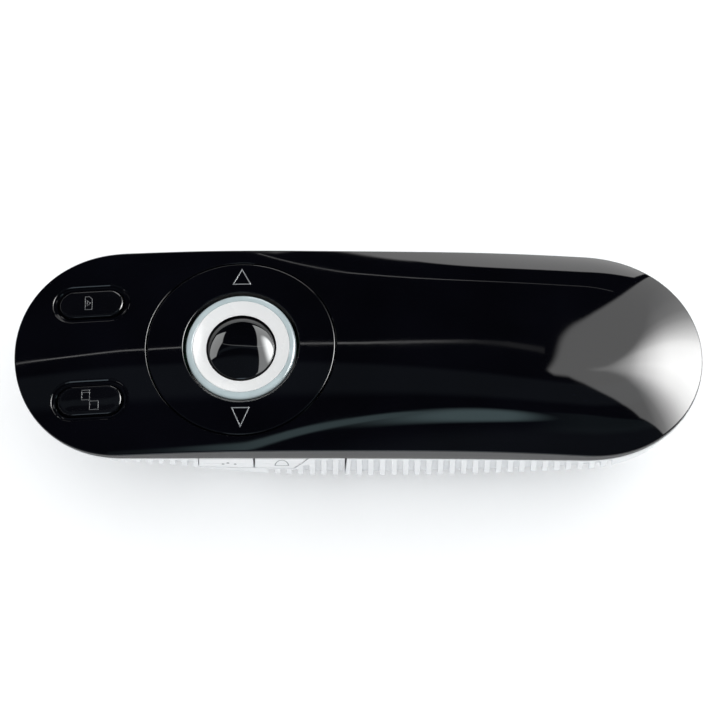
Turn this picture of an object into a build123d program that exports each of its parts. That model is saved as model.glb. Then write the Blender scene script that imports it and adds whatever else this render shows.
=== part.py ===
from build123d import *
import math
import os

os.makedirs("parts", exist_ok=True)

# ---------------------------------------------------------------------------
# Driving dimensions, millimetres. +X runs from the laser end to the battery
# end, +Y away from the side keys, +Z up; z = 0 is the flat pad of the belly.
# ---------------------------------------------------------------------------
HALF_L = 60.0            # half length of the body
HALF_W = 19.30           # mean half width of the body
TAPER = 0.15             # the front half is this much wider, the rear narrower
XL, XR = -40.5, 39.0     # where the rounded ends begin
END_N = 2.2              # exponent of the end curve
Z_PART = 17.35           # parting line height at mid-length
PART_DROP, PART_KL, PART_KR = 0.45, 36.0, 27.0   # how the parting line drops to the ends
DEPTH = 17.9             # depth of the lower hull below the parting line
KEEL_X = -2.0            # deepest section
KEEL_L, KEEL_R = 52.0, 80.0     # lengths over which the keel rises
KEEL_C = 0.85
BOX_MID, BOX_END = 2.6, 1.8     # squareness of the hull section
# height of the top cover's rim along the body, a polynomial in x / 60
RIM = (20.5902, 0.3527, -0.9597, -0.7814, -14.3315, 1.354, 18.9256, -0.9767, -6.8619)
EPS = 0.3
WALL = 1.8
SKIN = 1.7               # thickness of the top skin
FLOOR = 1.7
SPLIT_X, SPLIT_LEAN = -2.12, 0.03     # front case and rear cover meet here

STICK = (-20.45, 0.0)    # axis of the cursor stick and rocker
ROCK_R, ROCK_HOLE, ROCK_IN = 16.35, 16.6, 10.15
ROCK_AXIS_Z = 18.6
DOME_R, DOME_C = 7.0, 17.2      # dome skirt: sphere radius and its centre height
CAP_R, CAP_C = 8.8, 14.46       # flatter sphere of the dome's face
BAND_R, RING_R, RING_IN = 9.65, 8.45, 6.12
STICK_TILT, STICK_TILT_Z = -3.0, 21.75   # the stick module leans with the crown

KEY_X, KEY_Y = -46.7, 9.25
KEY_L, KEY_W = 11.2, 5.3        # key cap
KEYWELL_L, KEYWELL_W = 13.2, 7.0
KEY_TRAVEL = 0.5

RIB_PITCH = 2.021
RIB_GROOVE = 1.07
RIB_DEPTH = 0.8
RIB_X0, RIB_F0 = -0.736, -2.83     # centres of the grooves behind and before the split

PCB_Z0, PCB_T = 11.0, 1.0
CELL_R, CELL_LEN, CELL_Y, CELL_Z, CELL_X0 = 5.25, 43.7, 5.4, 12.3, 3.2
LASER_Z = 13.6
RX_X, RX_Z = -13.3, 7.2         # receiver centre line
BOSS = [(-36.8, 13.0), (-36.8, -13.0)]
TRAY_TAB = [(24.0, 13.95), (24.0, -13.95)]


# ---------------------------------------------------------------------------
# Shape of the body as functions
# ---------------------------------------------------------------------------
def zpart(x):
    a = abs(x) ** 4
    return Z_PART - PART_DROP * a / (a + (PART_KL if x < 0 else PART_KR) ** 4)


def uend(x, ins=0.0):
    if x < XL:
        return (XL - x) / (HALF_L + XL - ins)
    if x > XR:
        return (x - XR) / (HALF_L - XR - ins)
    return 0.0


def half_w(x, ins=0.0):
    return HALF_W - TAPER * math.tanh((x + 12) / 22) - ins


def rise(x):
    d = (KEEL_X - x) / KEEL_L if x < KEEL_X else (x - KEEL_X) / KEEL_R
    return math.sin(math.pi / 2 * min(1.0, d)) ** 2


def hull_y(x, z, ins=0.0, floor=0.0):
    """Half width of the lower hull at x, z; negative outside it."""
    s = (zpart(x) - z) / (DEPTH - floor)
    c = KEEL_C * rise(x)
    m = BOX_MID + (BOX_END - BOX_MID) * rise(x)
    if s >= 1:
        return -1.0
    h = (1 - max(s, 0.0) ** m) ** (1 / m)
    r = (h - c) / (1 - c)
    if r < 0:
        return -1.0
    k = math.sqrt(1 + EPS * EPS) - EPS
    g = (r * k + EPS) ** 2 - EPS ** 2 - uend(x, ins) ** END_N
    if g < 0:
        return -1.0
    return half_w(x, ins) * math.sqrt(g)


def x_end(z, side, ins, floor):
    lo, hi = KEEL_X, side * (HALF_L - ins)
    if hull_y(hi, z, ins, floor) >= 0:
        return hi
    for _ in range(60):
        mid = (lo + hi) / 2
        if hull_y(mid, z, ins, floor) >= 0:
            lo = mid
        else:
            hi = mid
    return lo


def slice_pts(z, ins=0.0, floor=0.0, n=44):
    xl, xr = x_end(z, -1, ins, floor), x_end(z, 1, ins, floor)
    xm, xa = (xl + xr) / 2, (xr - xl) / 2
    pts = []
    for i in range(n):
        t = 2 * math.pi * i / n
        x = xm + xa * math.cos(t)
        y = max(0.0, hull_y(x, z, ins, floor)) if i not in (0, n // 2) else 0.0
        pts.append((x, y if i <= n // 2 else -y, z))
    return pts


def slice_face(z, ins=0.0, floor=0.0):
    return Face(Wire([Spline(*[Vector(*p) for p in slice_pts(z, ins, floor)], periodic=True)]))


def rim_z(x):
    return sum(c * (x / 60.0) ** i for i, c in enumerate(RIM))


def crown(x):
    """How far the middle line stands above the rim."""
    return 2.08 + 0.6 / (1 + math.exp(-(x - 6) / 9))


def crown_m(x):
    return 1 + 0.9 / (1 + math.exp(-(x - 20) / 12))


def top_z(x, y):
    g = uend(x) ** END_N + (y / half_w(x)) ** 2
    return rim_z(x) + crown(x) * (1 - g ** crown_m(x))


# ---------------------------------------------------------------------------
# Building blocks
# ---------------------------------------------------------------------------
def box(x0, x1, y0, y1, z0, z1):
    return Pos((x0 + x1) / 2, (y0 + y1) / 2, (z0 + z1) / 2) * Box(x1 - x0, y1 - y0, z1 - z0)


def cyl(x, y, z0, z1, r):
    return Pos(x, y, (z0 + z1) / 2) * Cylinder(r, z1 - z0)


def cyl_x(x0, x1, y, z, r):
    return Pos((x0 + x1) / 2, y, z) * Rot(0, 90, 0) * Cylinder(r, x1 - x0)


def cyl_y(x, y0, y1, z, r):
    return Pos(x, (y0 + y1) / 2, z) * Rot(90, 0, 0) * Cylinder(r, y1 - y0)


def spin(profile, cx=0.0, cy=0.0):
    """Revolve an (r, z) polygon about the vertical line through cx, cy."""
    w = Polyline(*[(r, 0, z) for r, z in profile], close=True)
    return Pos(cx, cy, 0) * revolve(make_face(w), Axis.Z)


def plan_prism(ins, z0, z1):
    f = slice_face(40.0, ins)
    return extrude(Pos(0, 0, z0 - 40.0) * f, amount=z1 - z0, dir=(0, 0, 1))


def under_parting(gap):
    """Everything below the parting arc, less a gap."""
    xs = [-64 + 128 * i / 32 for i in range(33)]
    arc = Spline(*[Vector(x, -30, zpart(x) - gap) for x in xs])
    edges = [arc, Line((64, -30, zpart(64) - gap), (64, -30, -20)), Line((64, -30, -20), (-64, -30, -20)),
             Line((-64, -30, -20), (-64, -30, zpart(-64) - gap))]
    return extrude(Face(Wire(edges)), amount=60, dir=(0, 1, 0))


def above_skin(drop):
    """Everything above the crowned top surface, lowered by drop."""
    nx, ny = 61, 21
    grid = [[Vector(-61.5 + 123 * i / (nx - 1), -20.5 + 41 * j / (ny - 1),
                    top_z(-61.5 + 123 * i / (nx - 1), -20.5 + 41 * j / (ny - 1)) - drop)
             for j in range(ny)] for i in range(nx)]
    f = Face.make_surface_from_array_of_points(grid, tol=0.004)
    return extrude(f, amount=25, dir=(0, 0, 1))


def hull(ins=0.0, floor=0.0, z_lo=0.0):
    """The lower hull as a stack of slices, taller than the parting line."""
    zs = [z_lo, z_lo + 0.5, z_lo + 1.3, z_lo + 2.6]
    zs += [z for z in (4.4, 6.4, 8.4, 10.4, 12.2, 13.6, 14.8, 15.8, 16.6, 17.6, 19.0) if z > z_lo + 3.3]
    return loft([slice_face(z, ins, floor) for z in zs])


def pill(cx, cy, length, width, z0, z1):
    return extrude(Pos(cx, cy, z0) * SlotOverall(length, width), amount=z1 - z0)


def coil(radius, pitch, height, wire):
    path = Helix(pitch, height, radius)
    sec = Plane(origin=path @ 0, z_dir=path % 0) * Circle(wire / 2)
    return sweep(sec, path=path)


def solids_of(shape):
    return sorted(shape.solids(), key=lambda s: -s.volume)


OUT = {}


def put(name, shape, keep=1):
    """keep: how many of the largest solids belong to the piece."""
    print(name, flush=True)
    s = solids_of(shape)
    if keep and len(s) > keep:
        dropped = sum(q.volume for q in s[keep:])
        print(name, "dropped", len(s) - keep, "slivers, volume", round(dropped, 3))
        s = s[:keep]
    OUT[name] = s[0] if len(s) == 1 else Compound(children=s)


# ---------------------------------------------------------------------------
# Lower hull, its inside and its ribs
# ---------------------------------------------------------------------------
hull_out = hull()
hull_in = hull(WALL, FLOOR, 1.7)
below = under_parting(0.05)
case_shell = (hull_out & below) - hull_in


def groove(x, side, top):
    """Cutter for one rib groove: follows the hull at a constant depth."""
    zs = [z for z in (0.9, 1.6, 2.6, 3.8, 5.4, 7.4, 9.4, 11.4, 13.2) if z < top - 1.0 and hull_y(x, z) > 3.0]
    zs.append(top)
    if len(zs) < 3:
        return None
    inner = [(max(hull_y(x, z) - RIB_DEPTH, 0.5) + (0.3 if z == top else 0.0), z) for z in zs]
    ring = [(side * y, z) for y, z in inner] + [(side * 22, top + 0.4), (side * 22, zs[0])]
    w = Wire(Polyline(*[Vector(x - RIB_GROOVE / 2, y, z) for y, z in ring], close=True).edges())
    return extrude(Face(w), amount=RIB_GROOVE, dir=(1, 0, 0))


def grooves(x_from, x_to, step):
    cuts = []
    x = x_from
    while (x - x_to) * step < 0:
        for side in (1, -1):
            top = zpart(x) - 0.35
            if side < 0 and -28.6 < x < -8.4:
                # smooth round the two side keys
                top = 12.3 if x < -10 else 14.4
                if x < -15.6:
                    continue
            if side > 0 and abs(x - RX_X) < 9.2:
                continue
            c = groove(x, side, top)
            if c:
                cuts.append(c)
        x += step
    return cuts


def split_block(x_far, gap):
    """Everything on one side of the leaning split, less a gap."""
    xs = [SPLIT_X + (z - 14) * SPLIT_LEAN + gap for z in (-10, 40)]
    w = Polyline((x_far, -30, -10), (xs[0], -30, -10), (xs[1], -30, 40), (x_far, -30, 40), close=True)
    f = Face(Wire(w.edges()))
    return extrude(f, amount=60, dir=(0, 1, 0))


front_box = split_block(-70, -0.18)
rear_box = split_block(70, 0.18)

# ---------------------------------------------------------------------------
# Front lower case
# ---------------------------------------------------------------------------
lower = case_shell & front_box
inner_clear = hull(WALL + 0.15, FLOOR + 0.15, 1.85)


def section(x0, x1, d, z_top):
    """Filled cross-section of the hull inset by d, drawn out from x0 to x1."""
    zb = d - 0.05
    zs = [zb + (z_top - zb) * (i / 14.0) ** 1.7 for i in range(15)]
    half = [(max(hull_y(x1, z, d, d), 0.0), z) for z in zs]
    ring = half + [(-y, z) for y, z in reversed(half)]
    w = Wire(Polyline(*[Vector(x0, y, z) for y, z in ring], close=True).edges())
    return extrude(Face(w), amount=x1 - x0, dir=(1, 0, 0))


lip = section(-4.6, SPLIT_X + 1.7, WALL + 0.2, 14.6) - section(-5.6, SPLIT_X + 2.7, 2.9, 15.6)
lip_root = section(-4.6, SPLIT_X - 0.3, WALL - 0.5, 14.6) - section(-5.6, SPLIT_X + 0.7, 2.9, 15.6)
lower = lower + lip_root + lip
for bx, by in BOSS:
    post = cyl(bx, by, 4.5, PCB_Z0 - 0.03, 2.6) & hull(0.9, 0.9, 0.9)
    lower = lower + post
    lower = lower - cyl(bx, by, 0, 8.2, 2.1) - cyl(bx, by, 5, 20, 1.15)
# receiver opening in the far wall
RX_W, RX_H = 7.8, 3.0
lower = lower - box(RX_X - RX_W - 0.15, RX_X + RX_W + 0.15, 10, 25, RX_Z - RX_H - 0.15, RX_Z + RX_H + 0.15)
# side key openings in the near wall
SK = {"side_key_laser": (-27.6, -18.15), "side_key_dome": (-17.85, -8.75)}
SK_Z0, SK_Z1, SK_SLANT = 12.8, 17.05, 2.35


def key_block(x0, x1, z0, z1, slant, y0, y1):
    """A block whose lower end corner towards +X is cut off at a slant."""
    w = Polyline((x0, y0, z0), (x1 - slant, y0, z0), (x1, y0, z1), (x0, y0, z1), close=True)
    return extrude(Face(Wire(w.edges())), amount=y1 - y0, dir=(0, 1, 0))


lower = lower - key_block(SK["side_key_laser"][0] - 0.13, SK["side_key_dome"][1] + 0.68, SK_Z0 - 0.13, 18.0, 2.9, -25, -10)
# laser bore
lower = lower - cyl_x(-70, -52, 0, LASER_Z, 1.75)
lower = lower - grooves(RIB_F0, -48.0, -RIB_PITCH)
put("lower_case", lower)

# ---------------------------------------------------------------------------
# Rear cover, slides off backwards
# ---------------------------------------------------------------------------
rear = (case_shell & rear_box) & under_parting(0.15)
rear = rear - grooves(RIB_X0, 44.5, RIB_PITCH)
put("rear_cover", rear)

# ---------------------------------------------------------------------------
# Top cover
# ---------------------------------------------------------------------------
sky = above_skin(0.0)
skin_cut = above_skin(SKIN)
above_part = plan_prism(0.0, 8, 30) - under_parting(-0.05)
body_top = above_part - sky
try:
    rim = [e for e in body_top.edges() if e.length > 150 and e.center().Z > 17.5]
    print("rim edges", len(rim), [round(e.length, 1) for e in rim])
    body_top = fillet(rim, 0.3)
    print("rim rounded")
except Exception as ex:
    print("rim left sharp:", type(ex).__name__)
cavity = plan_prism(WALL, 8, 30) - skin_cut
cover = body_top - cavity
solid_top = body_top          # the full crowned form, used to trim keys and rocker
cover = cover - cyl(STICK[0], STICK[1], 10, 40, ROCK_HOLE)
for side in (1, -1):
    zt = top_z(KEY_X, KEY_Y)
    cover = cover - pill(KEY_X, side * KEY_Y, KEY_L + 0.4, KEY_W + 0.4, 10, 40)
    well = pill(KEY_X, side * KEY_Y, KEYWELL_L, KEYWELL_W, 10, 40) - above_skin(0.7)
    cover = cover - (pill(KEY_X, side * KEY_Y, KEYWELL_L, KEYWELL_W, 10, 40) & above_skin(0.55))
# posts to the board bosses and to the tray tabs
for bx, by in BOSS:
    cover = cover + (cyl(bx, by, PCB_Z0 + PCB_T + 0.03, 30, 2.6) - above_skin(0.8)) - cyl(bx, by, 5, 17.2, 1.02)
for bx, by in TRAY_TAB:
    cover = cover + (cyl(bx, by, 16.45, 30, 1.8) - above_skin(0.8)) - cyl(bx, by, 5, 20.0, 1.02)
# bearing ears for the rocker pins, under the skin at both ends of its axis
for s in (-1, 1):
    x0, x1 = sorted((STICK[0] + s * 16.95, STICK[0] + s * 18.6))
    ear = box(x0, x1, -2.2, 2.2, ROCK_AXIS_Z - 1.6, 30) - above_skin(0.8)
    cover = cover + ear
cover = cover - cyl_x(STICK[0] - 18.1, STICK[0] + 18.1, 0, ROCK_AXIS_Z, 0.76)
# locating tongues that sit just inside the case walls
tongue = (plan_prism(WALL - 0.1, 8, 30) - plan_prism(2.9, 7, 31)) & under_parting(-1.6) - under_parting(-0.1)
tongue_low = (plan_prism(WALL + 0.2, 8, 30) - plan_prism(2.9, 7, 31)) & (under_parting(-0.3) - under_parting(0.9))
tg = (tongue + tongue_low)
keep = box(6, 33, -30, 30, 0, 30) + box(-33, -29.5, -30, 30, 0, 30) + box(-24, -8, 0, 30, 0, 30)
cover = cover + (tg & keep)
put("top_cover", cover)

# ---------------------------------------------------------------------------
# Slide rocker: annular plate on two pins, with posts over its switches
# ---------------------------------------------------------------------------
sx, sy = STICK
rk = (cyl(sx, sy, 19.5, 40, ROCK_R) - cyl(sx, sy, 10, 41, ROCK_IN)) & solid_top
for s in (-1, 1):
    x0, x1 = sorted((sx + s * 13.6, sx + s * 15.6))
    rk = rk + box(x0, x1, -1.6, 1.6, ROCK_AXIS_Z - 1.3, 19.9)
    x0, x1 = sorted((sx + s * 15.0, sx + s * 17.9))
    rk = rk + cyl_x(x0, x1, 0, ROCK_AXIS_Z, 0.7)
    rk = rk + cyl(sx, s * 13.3, 17.65, 19.9, 1.5)
put("slide_rocker", rk)

# ---------------------------------------------------------------------------
# White ring, halo ring and the cursor stick
# ---------------------------------------------------------------------------
def lean(shape):
    """Turn a piece of the stick module with the slope of the crown."""
    p = Pos(sx, sy, STICK_TILT_Z)
    return p * Rot(0, STICK_TILT, 0) * p.inverse() * shape


board_top = box(sx - 20, sx + 20, -20, 20, 12.05, 40)
dish = [(RING_IN + (RING_R - RING_IN) * i / 8.0, 21.12 + 0.75 * (i / 8.0) ** 1.4) for i in range(9)]
put("ring_bezel", lean(spin(dish + [(RING_R, 20.7), (9.6, 20.7), (9.6, 10.5), (8.85, 10.5), (8.85, 19.5), (6.9, 19.5)], sx, sy)) & board_top)
put("halo_ring", lean(spin([(RING_R + 0.04, 20.72), (RING_R + 0.04, 21.86), (8.65, 21.92), (9.05, 21.88), (9.4, 21.74), (9.58, 21.55), (BAND_R, 21.3), (BAND_R, 20.72)], sx, sy)))

a0 = math.radians(73)
arc_out = [(DOME_R * math.sin(a0 * i / 24), DOME_C + DOME_R * math.cos(a0 * i / 24)) for i in range(25)]
arc_in = [((DOME_R - 1.0) * math.sin(a0 * i / 24), DOME_C + (DOME_R - 1.0) * math.cos(a0 * i / 24)) for i in range(25)]
dome_face = make_face(Wire([
    Spline(*[Vector(r, 0, z) for r, z in arc_out]),
    Line((arc_out[-1][0], 0, arc_out[-1][1]), (arc_in[-1][0], 0, arc_in[-1][1])),
    Spline(*[Vector(r, 0, z) for r, z in reversed(arc_in)]),
    Line((0, 0, arc_in[0][1]), (0, 0, arc_out[0][1]))]))
cap = Pos(sx, sy, 0) * revolve(dome_face, Axis.Z)
cap = cap & (Pos(sx, sy, CAP_C) * Sphere(CAP_R))
cap = cap + ((cyl(sx, sy, 19.1, 24.0, 3.7) + cyl(sx, sy, 20.2, 24.0, 4.6)) & (Pos(sx, sy, CAP_C) * Sphere(CAP_R - 0.3)))
for s in (-1, 1):
    y0, y1 = sorted((s * 2.3, s * 3.4))
    cap = cap + box(sx - 1.2, sx + 1.2, y0, y1, 16.1, 19.6)
cap = cap - cyl_y(sx, -4.5, 4.5, DOME_C, 0.66)
put("stick_cap", lean(cap))

cross = box(sx - 1.7, sx + 1.7, -1.7, 1.7, DOME_C - 0.95, DOME_C + 0.95)
cross = cross + cyl_x(sx - 3.35, sx + 3.35, 0, DOME_C, 0.6) + cyl_y(sx, -3.35, 3.35, DOME_C, 0.6)
put("gimbal_cross", lean(cross))

post = cyl(sx, sy, 12.75, 14.9, 2.0) + cyl(sx, sy, 14.5, 15.2, 3.9)
for s in (-1, 1):
    x0, x1 = sorted((sx + s * 2.3, sx + s * 3.4))
    post = post + box(x0, x1, -1.2, 1.2, 14.9, DOME_C + 1.05)
post = post - cyl_x(sx - 5, sx + 5, 0, DOME_C, 0.66)
put("stick_post", lean(post))

base = cyl(sx, sy, 11.0, 14.0, 7.0) - cyl(sx, sy, 10, 15, 2.12) - (cyl(sx, sy, 12.95, 14.5, 6.4) - cyl(sx, sy, 10, 15, 4.6))
put("stick_base", lean(base) & board_top)
spring = Pos(sx, sy, 13.25) * coil(5.5, 1.1, 3.8, 0.45)
put("centering_spring", lean(spring))

# ---------------------------------------------------------------------------
# The two small keys at the front
# ---------------------------------------------------------------------------
for name, side in (("key_launch", 1), ("key_window", -1)):
    ky = side * KEY_Y
    zt = top_z(KEY_X, KEY_Y)
    k = (pill(KEY_X, ky, KEY_L, KEY_W, 15.9, 40)) - sky
    k = k + (pill(KEY_X, ky, KEY_L + 1.6, KEY_W + 1.6, 15.5, 16.2))
    k = k + box(KEY_X - 1.5 + 0.7, KEY_X + 1.5 + 0.7, side * 8.0 - 1.5, side * 8.0 + 1.5, 15.2, 15.8)
    put(name, k)

# ---------------------------------------------------------------------------
# Side keys in the near wall
# ---------------------------------------------------------------------------
for name, (a, b) in SK.items():
    k = key_block(a, b, SK_Z0, SK_Z1, SK_SLANT if b > -15 else 0.0, -25, -16.4) & hull_out
    k = k + box(a - 0.5 if a < -20 else a + 0.05, b + 1.1 if b > -15 else b - 0.05, -16.75, -16.05, 12.25, 16.6)
    put(name, k)

# ---------------------------------------------------------------------------
# Main board and what is on it
# ---------------------------------------------------------------------------
pts = []
xs = [-49.0 + 44.0 * i / 16 for i in range(17)]
up = [(q, hull_y(q, PCB_Z0, WALL + 0.5, FLOOR) - 0.1) for q in xs]
outline = up + [(q, -w) for q, w in reversed(up)]
board = extrude(Pos(0, 0, PCB_Z0) * make_face(Polyline(*outline, close=True)), amount=PCB_T)
board = board - box(-60, -38.2, -3.9, 3.9, 10, 13)
board = board - box(-28.6, -8.0, -20, -15.9, 10, 13)
for bx, by in BOSS:
    board = board - cyl(bx, by, 10, 13, 1.15)
put("main_board", board)

zt = PCB_Z0 + PCB_T + 0.01
chips = box(-36.2, -31.2, -4.0, 1.0, zt, zt + 0.9)
chips = chips + box(-9.6, -6.2, 6.0, 12.0, zt, zt + 1.4)
chips = chips + box(-9.4, -6.4, -6.0, -2.5, zt, zt + 1.0)
chips = chips + box(-36.0, -33.0, 3.6, 5.2, zt, zt + 0.9) + box(-39.4, -37.8, 7.0, 7.9, zt, zt + 0.6)
chips = chips + box(-39.4, -37.8, -7.9, -7.0, zt, zt + 0.6)
put("board_components", chips, keep=0)

sw = []
for s in (1, -1):
    cx, cy = KEY_X + 0.7, s * 8.0
    sw.append(box(cx - 1.9, cx + 1.9, cy - 1.9, cy + 1.9, zt, zt + 1.6) + cyl(cx, cy, zt + 1.5, 14.7, 1.0))
put("key_switches", sw[0] + sw[1], keep=0)
sw = []
for s in (1, -1):
    cy = s * 13.3
    sw.append(box(sx - 2.2, sx + 2.2, cy - 1.95, cy + 1.95, zt, zt + 3.4) + cyl(sx, cy, zt + 3.3, 16.95, 1.1))
put("rocker_switches", sw[0] + sw[1], keep=0)
sw = []
for cx in (-25.35, -13.55):
    sw.append(box(cx - 2.2, cx + 2.2, -14.9, -12.9, zt, zt + 3.2) + cyl_y(cx, -15.45, -14.5, 14.2, 0.8))
put("side_switches", sw[0] + sw[1], keep=0)

# ---------------------------------------------------------------------------
# Laser module in the front tip
# ---------------------------------------------------------------------------
barrel = cyl_x(-51.0, -39.0, 0, LASER_Z, 2.5) - cyl_x(-52, -49.4, 0, LASER_Z, 1.8) - cyl_x(-50, -44, 0, LASER_Z, 1.2)
barrel = barrel - (cyl_x(-44.0, -43.4, 0, LASER_Z, 3.0) - cyl_x(-44.2, -43.2, 0, LASER_Z, 2.3))
put("laser_barrel", barrel)
put("laser_lens", cyl_x(-50.7, -49.45, 0, LASER_Z, 1.74) & (Pos(-47.6, 0, LASER_Z) * Sphere(3.1)))
holder = box(-49.0, -40.5, -3.5, 3.5, 4, LASER_Z - 0.3) & inner_clear
holder = holder - cyl_x(-60, -30, 0, LASER_Z, 2.54)
put("laser_holder", holder)
win = (cyl_x(-62, -56.6, 0, LASER_Z, 1.7) & hull(0.12, 0.1, 0.1))
put("laser_window", win)

# ---------------------------------------------------------------------------
# USB receiver in its bay, drawn out of the far side
# ---------------------------------------------------------------------------
rxs = box(RX_X - RX_W, RX_X + RX_W, 6.2, 25, RX_Z - RX_H, RX_Z + RX_H) & hull_out
rxs = rxs - box(RX_X - 6.05, RX_X + 6.05, 5, 8.25, RX_Z - 2.3, RX_Z + 2.3)
put("receiver_shell", rxs)
plug = box(RX_X - 6.0, RX_X + 6.0, -5.6, 8.2, RX_Z - 2.25, RX_Z + 2.25)
plug = plug - box(RX_X - 5.7, RX_X + 5.7, -6, 7.9, RX_Z - 1.95, RX_Z + 1.95)
for q in (-3.0, 3.0):
    plug = plug - box(RX_X + q - 1.2, RX_X + q + 1.2, -1.6, 0.8, RX_Z, RX_Z + 4)
put("receiver_plug", plug)
tongue = box(RX_X - 5.6, RX_X + 5.6, -5.2, 7.85, RX_Z - 1.9, RX_Z - 0.1)
put("receiver_tongue", tongue)
bay = box(RX_X - 8.75, RX_X + 8.75, -6.9, 22, RX_Z - 3.85, RX_Z + 3.6)
bay = bay - box(RX_X - RX_W - 0.2, RX_X + RX_W + 0.2, -6.2, 30, RX_Z - RX_H - 0.2, RX_Z + RX_H + 0.2)
bay = bay & inner_clear
put("receiver_bay", bay)

# ---------------------------------------------------------------------------
# Battery tray, cells and contacts
# ---------------------------------------------------------------------------
tray = box(0.6, 49.6, -11.9, 11.9, 10.1, 18.5) - box(1.6, 48.9, -10.9, 10.9, 5, 17.65)
tray = tray - box(5, 46, -13, 13, 5, 11.7)
tray = (tray & hull(2.25, 2.15, 2.1)) - above_skin(SKIN + 0.25)
for yy in (0.0,):
    tray = tray + box(14, 36, yy - 0.1 - 0.0, yy + 0.1, 17.1, 17.9)
for bx, by in TRAY_TAB:
    s = 1 if by > 0 else -1
    y0, y1 = sorted((s * 11.5, by))
    tray = tray + box(bx - 2.25, bx + 2.25, y0, y1, 15.2, 16.4) + cyl(bx, by, 15.2, 16.4, 2.25)
    tray = tray - cyl(bx, by, 14, 17, 1.15)
put("battery_tray", tray)

for name, s in (("cell_a", 1), ("cell_b", -1)):
    c = cyl_x(CELL_X0, CELL_X0 + CELL_LEN, s * CELL_Y, CELL_Z, CELL_R)
    c = chamfer(c.edges().filter_by(GeomType.CIRCLE), 0.5)
    tip = cyl_x(CELL_X0 + CELL_LEN, CELL_X0 + CELL_LEN + 0.8, s * CELL_Y, CELL_Z, 1.9) if s > 0 else \
        cyl_x(CELL_X0 - 0.8, CELL_X0, s * CELL_Y, CELL_Z, 1.9)
    put(name, c + tip)

contacts = box(48.55, 48.85, -9.4, 9.4, CELL_Z - 4, CELL_Z + 4)
contacts = contacts + box(1.65, 1.95, 1.4, 9.4, CELL_Z - 4, CELL_Z + 4) + box(1.65, 1.95, -9.4, -1.4, CELL_Z - 4, CELL_Z + 4)
put("battery_contacts", contacts, keep=0)
spr_a = Pos(2.23, CELL_Y, CELL_Z) * Rot(0, 90, 0) * coil(2.8, 0.6, 0.66, 0.45)
spr_b = Pos(47.2, -CELL_Y, CELL_Z) * Rot(0, 90, 0) * coil(2.8, 0.6, 1.05, 0.45)
put("battery_springs", Compound(children=[s for q in (spr_a, spr_b) for s in q.solids()]), keep=0)

# ---------------------------------------------------------------------------
# Screws
# ---------------------------------------------------------------------------
def screw(x, y, z_head, z_seat, z_tip):
    s = cyl(x, y, z_head, z_seat, 1.9) + cyl(x, y, z_seat - 0.2, z_tip, 0.98)
    for a in (0, 90):
        s = s - Pos(x, y, z_head + 0.35) * Rot(0, 0, a) * Box(2.1, 0.5, 0.72)
    return s


put("case_screws", screw(BOSS[0][0], BOSS[0][1], 6.9, 8.15, 16.6) + screw(BOSS[1][0], BOSS[1][1], 6.9, 8.15, 16.6), keep=0)
put("tray_screws", screw(TRAY_TAB[0][0], TRAY_TAB[0][1], 13.9, 15.15, 19.6) + screw(TRAY_TAB[1][0], TRAY_TAB[1][1], 13.9, 15.15, 19.6), keep=0)

for name, shape in OUT.items():
    export_step(shape, f"parts/{name}.step")
print("written", len(OUT))
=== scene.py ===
import bpy, bmesh, math
import numpy as np
from mathutils import Vector, Matrix
from mathutils.geometry import delaunay_2d_cdt


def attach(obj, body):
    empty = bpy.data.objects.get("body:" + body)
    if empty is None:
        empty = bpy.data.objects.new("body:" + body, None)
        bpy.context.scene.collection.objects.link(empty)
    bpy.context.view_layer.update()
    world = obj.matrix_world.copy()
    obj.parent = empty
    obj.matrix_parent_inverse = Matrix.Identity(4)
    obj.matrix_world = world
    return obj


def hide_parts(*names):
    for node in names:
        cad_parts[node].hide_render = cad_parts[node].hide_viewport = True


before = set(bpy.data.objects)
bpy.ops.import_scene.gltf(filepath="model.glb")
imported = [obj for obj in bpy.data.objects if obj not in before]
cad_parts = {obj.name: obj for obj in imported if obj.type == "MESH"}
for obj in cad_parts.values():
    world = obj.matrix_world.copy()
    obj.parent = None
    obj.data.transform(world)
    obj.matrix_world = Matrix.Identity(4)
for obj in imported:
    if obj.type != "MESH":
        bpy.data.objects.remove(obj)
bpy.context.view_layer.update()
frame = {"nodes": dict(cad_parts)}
MM = 0.001

# ---------------------------------------------------------------------------
# The body's form, the same functions as in the CAD (millimetres)
# ---------------------------------------------------------------------------
HALF_L, HALF_W, TAPER = 60.0, 19.30, 0.15
XL, XR, END_N = -40.5, 39.0, 2.2
Z_PART, PART_DROP, PART_KL, PART_KR = 17.35, 0.45, 36.0, 27.0
DEPTH, KEEL_X, KEEL_L, KEEL_R, KEEL_C = 17.9, -2.0, 52.0, 80.0, 0.85
BOX_MID, BOX_END, EPS = 2.6, 1.8, 0.3
RIM = (20.5902, 0.3527, -0.9597, -0.7814, -14.3315, 1.354, 18.9256, -0.9767, -6.8619)
WALL, SKIN, FLOOR, SPLIT_X, SPLIT_LEAN = 1.8, 1.7, 1.7, -2.12, 0.03
SX, SY = -20.45, 0.0
ROCK_R, ROCK_HOLE, ROCK_IN = 16.35, 16.6, 10.12
DOME_R, DOME_C, CAP_R, CAP_C = 7.0, 17.2, 8.8, 14.46
KEY_X, KEY_Y, KEY_L, KEY_W = -46.7, 9.25, 11.2, 5.3
WELL_L, WELL_W = 13.2, 7.0
RIB_PITCH, RIB_GROOVE, RIB_DEPTH, RIB_X0, RIB_F0 = 2.021, 1.07, 0.8, -0.736, -2.83
RX_X, RX_Z = -13.3, 7.2
BOSS = [(-36.8, 13.0), (-36.8, -13.0)]
TRAY_TAB = [(24.0, 13.95), (24.0, -13.95)]
SK = {"side_key_laser": (-27.6, -18.15), "side_key_dome": (-17.85, -8.75)}
SK_Z0, SK_Z1, SK_SLANT = 12.8, 17.05, 2.35
LASER_Z = 13.6
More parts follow.
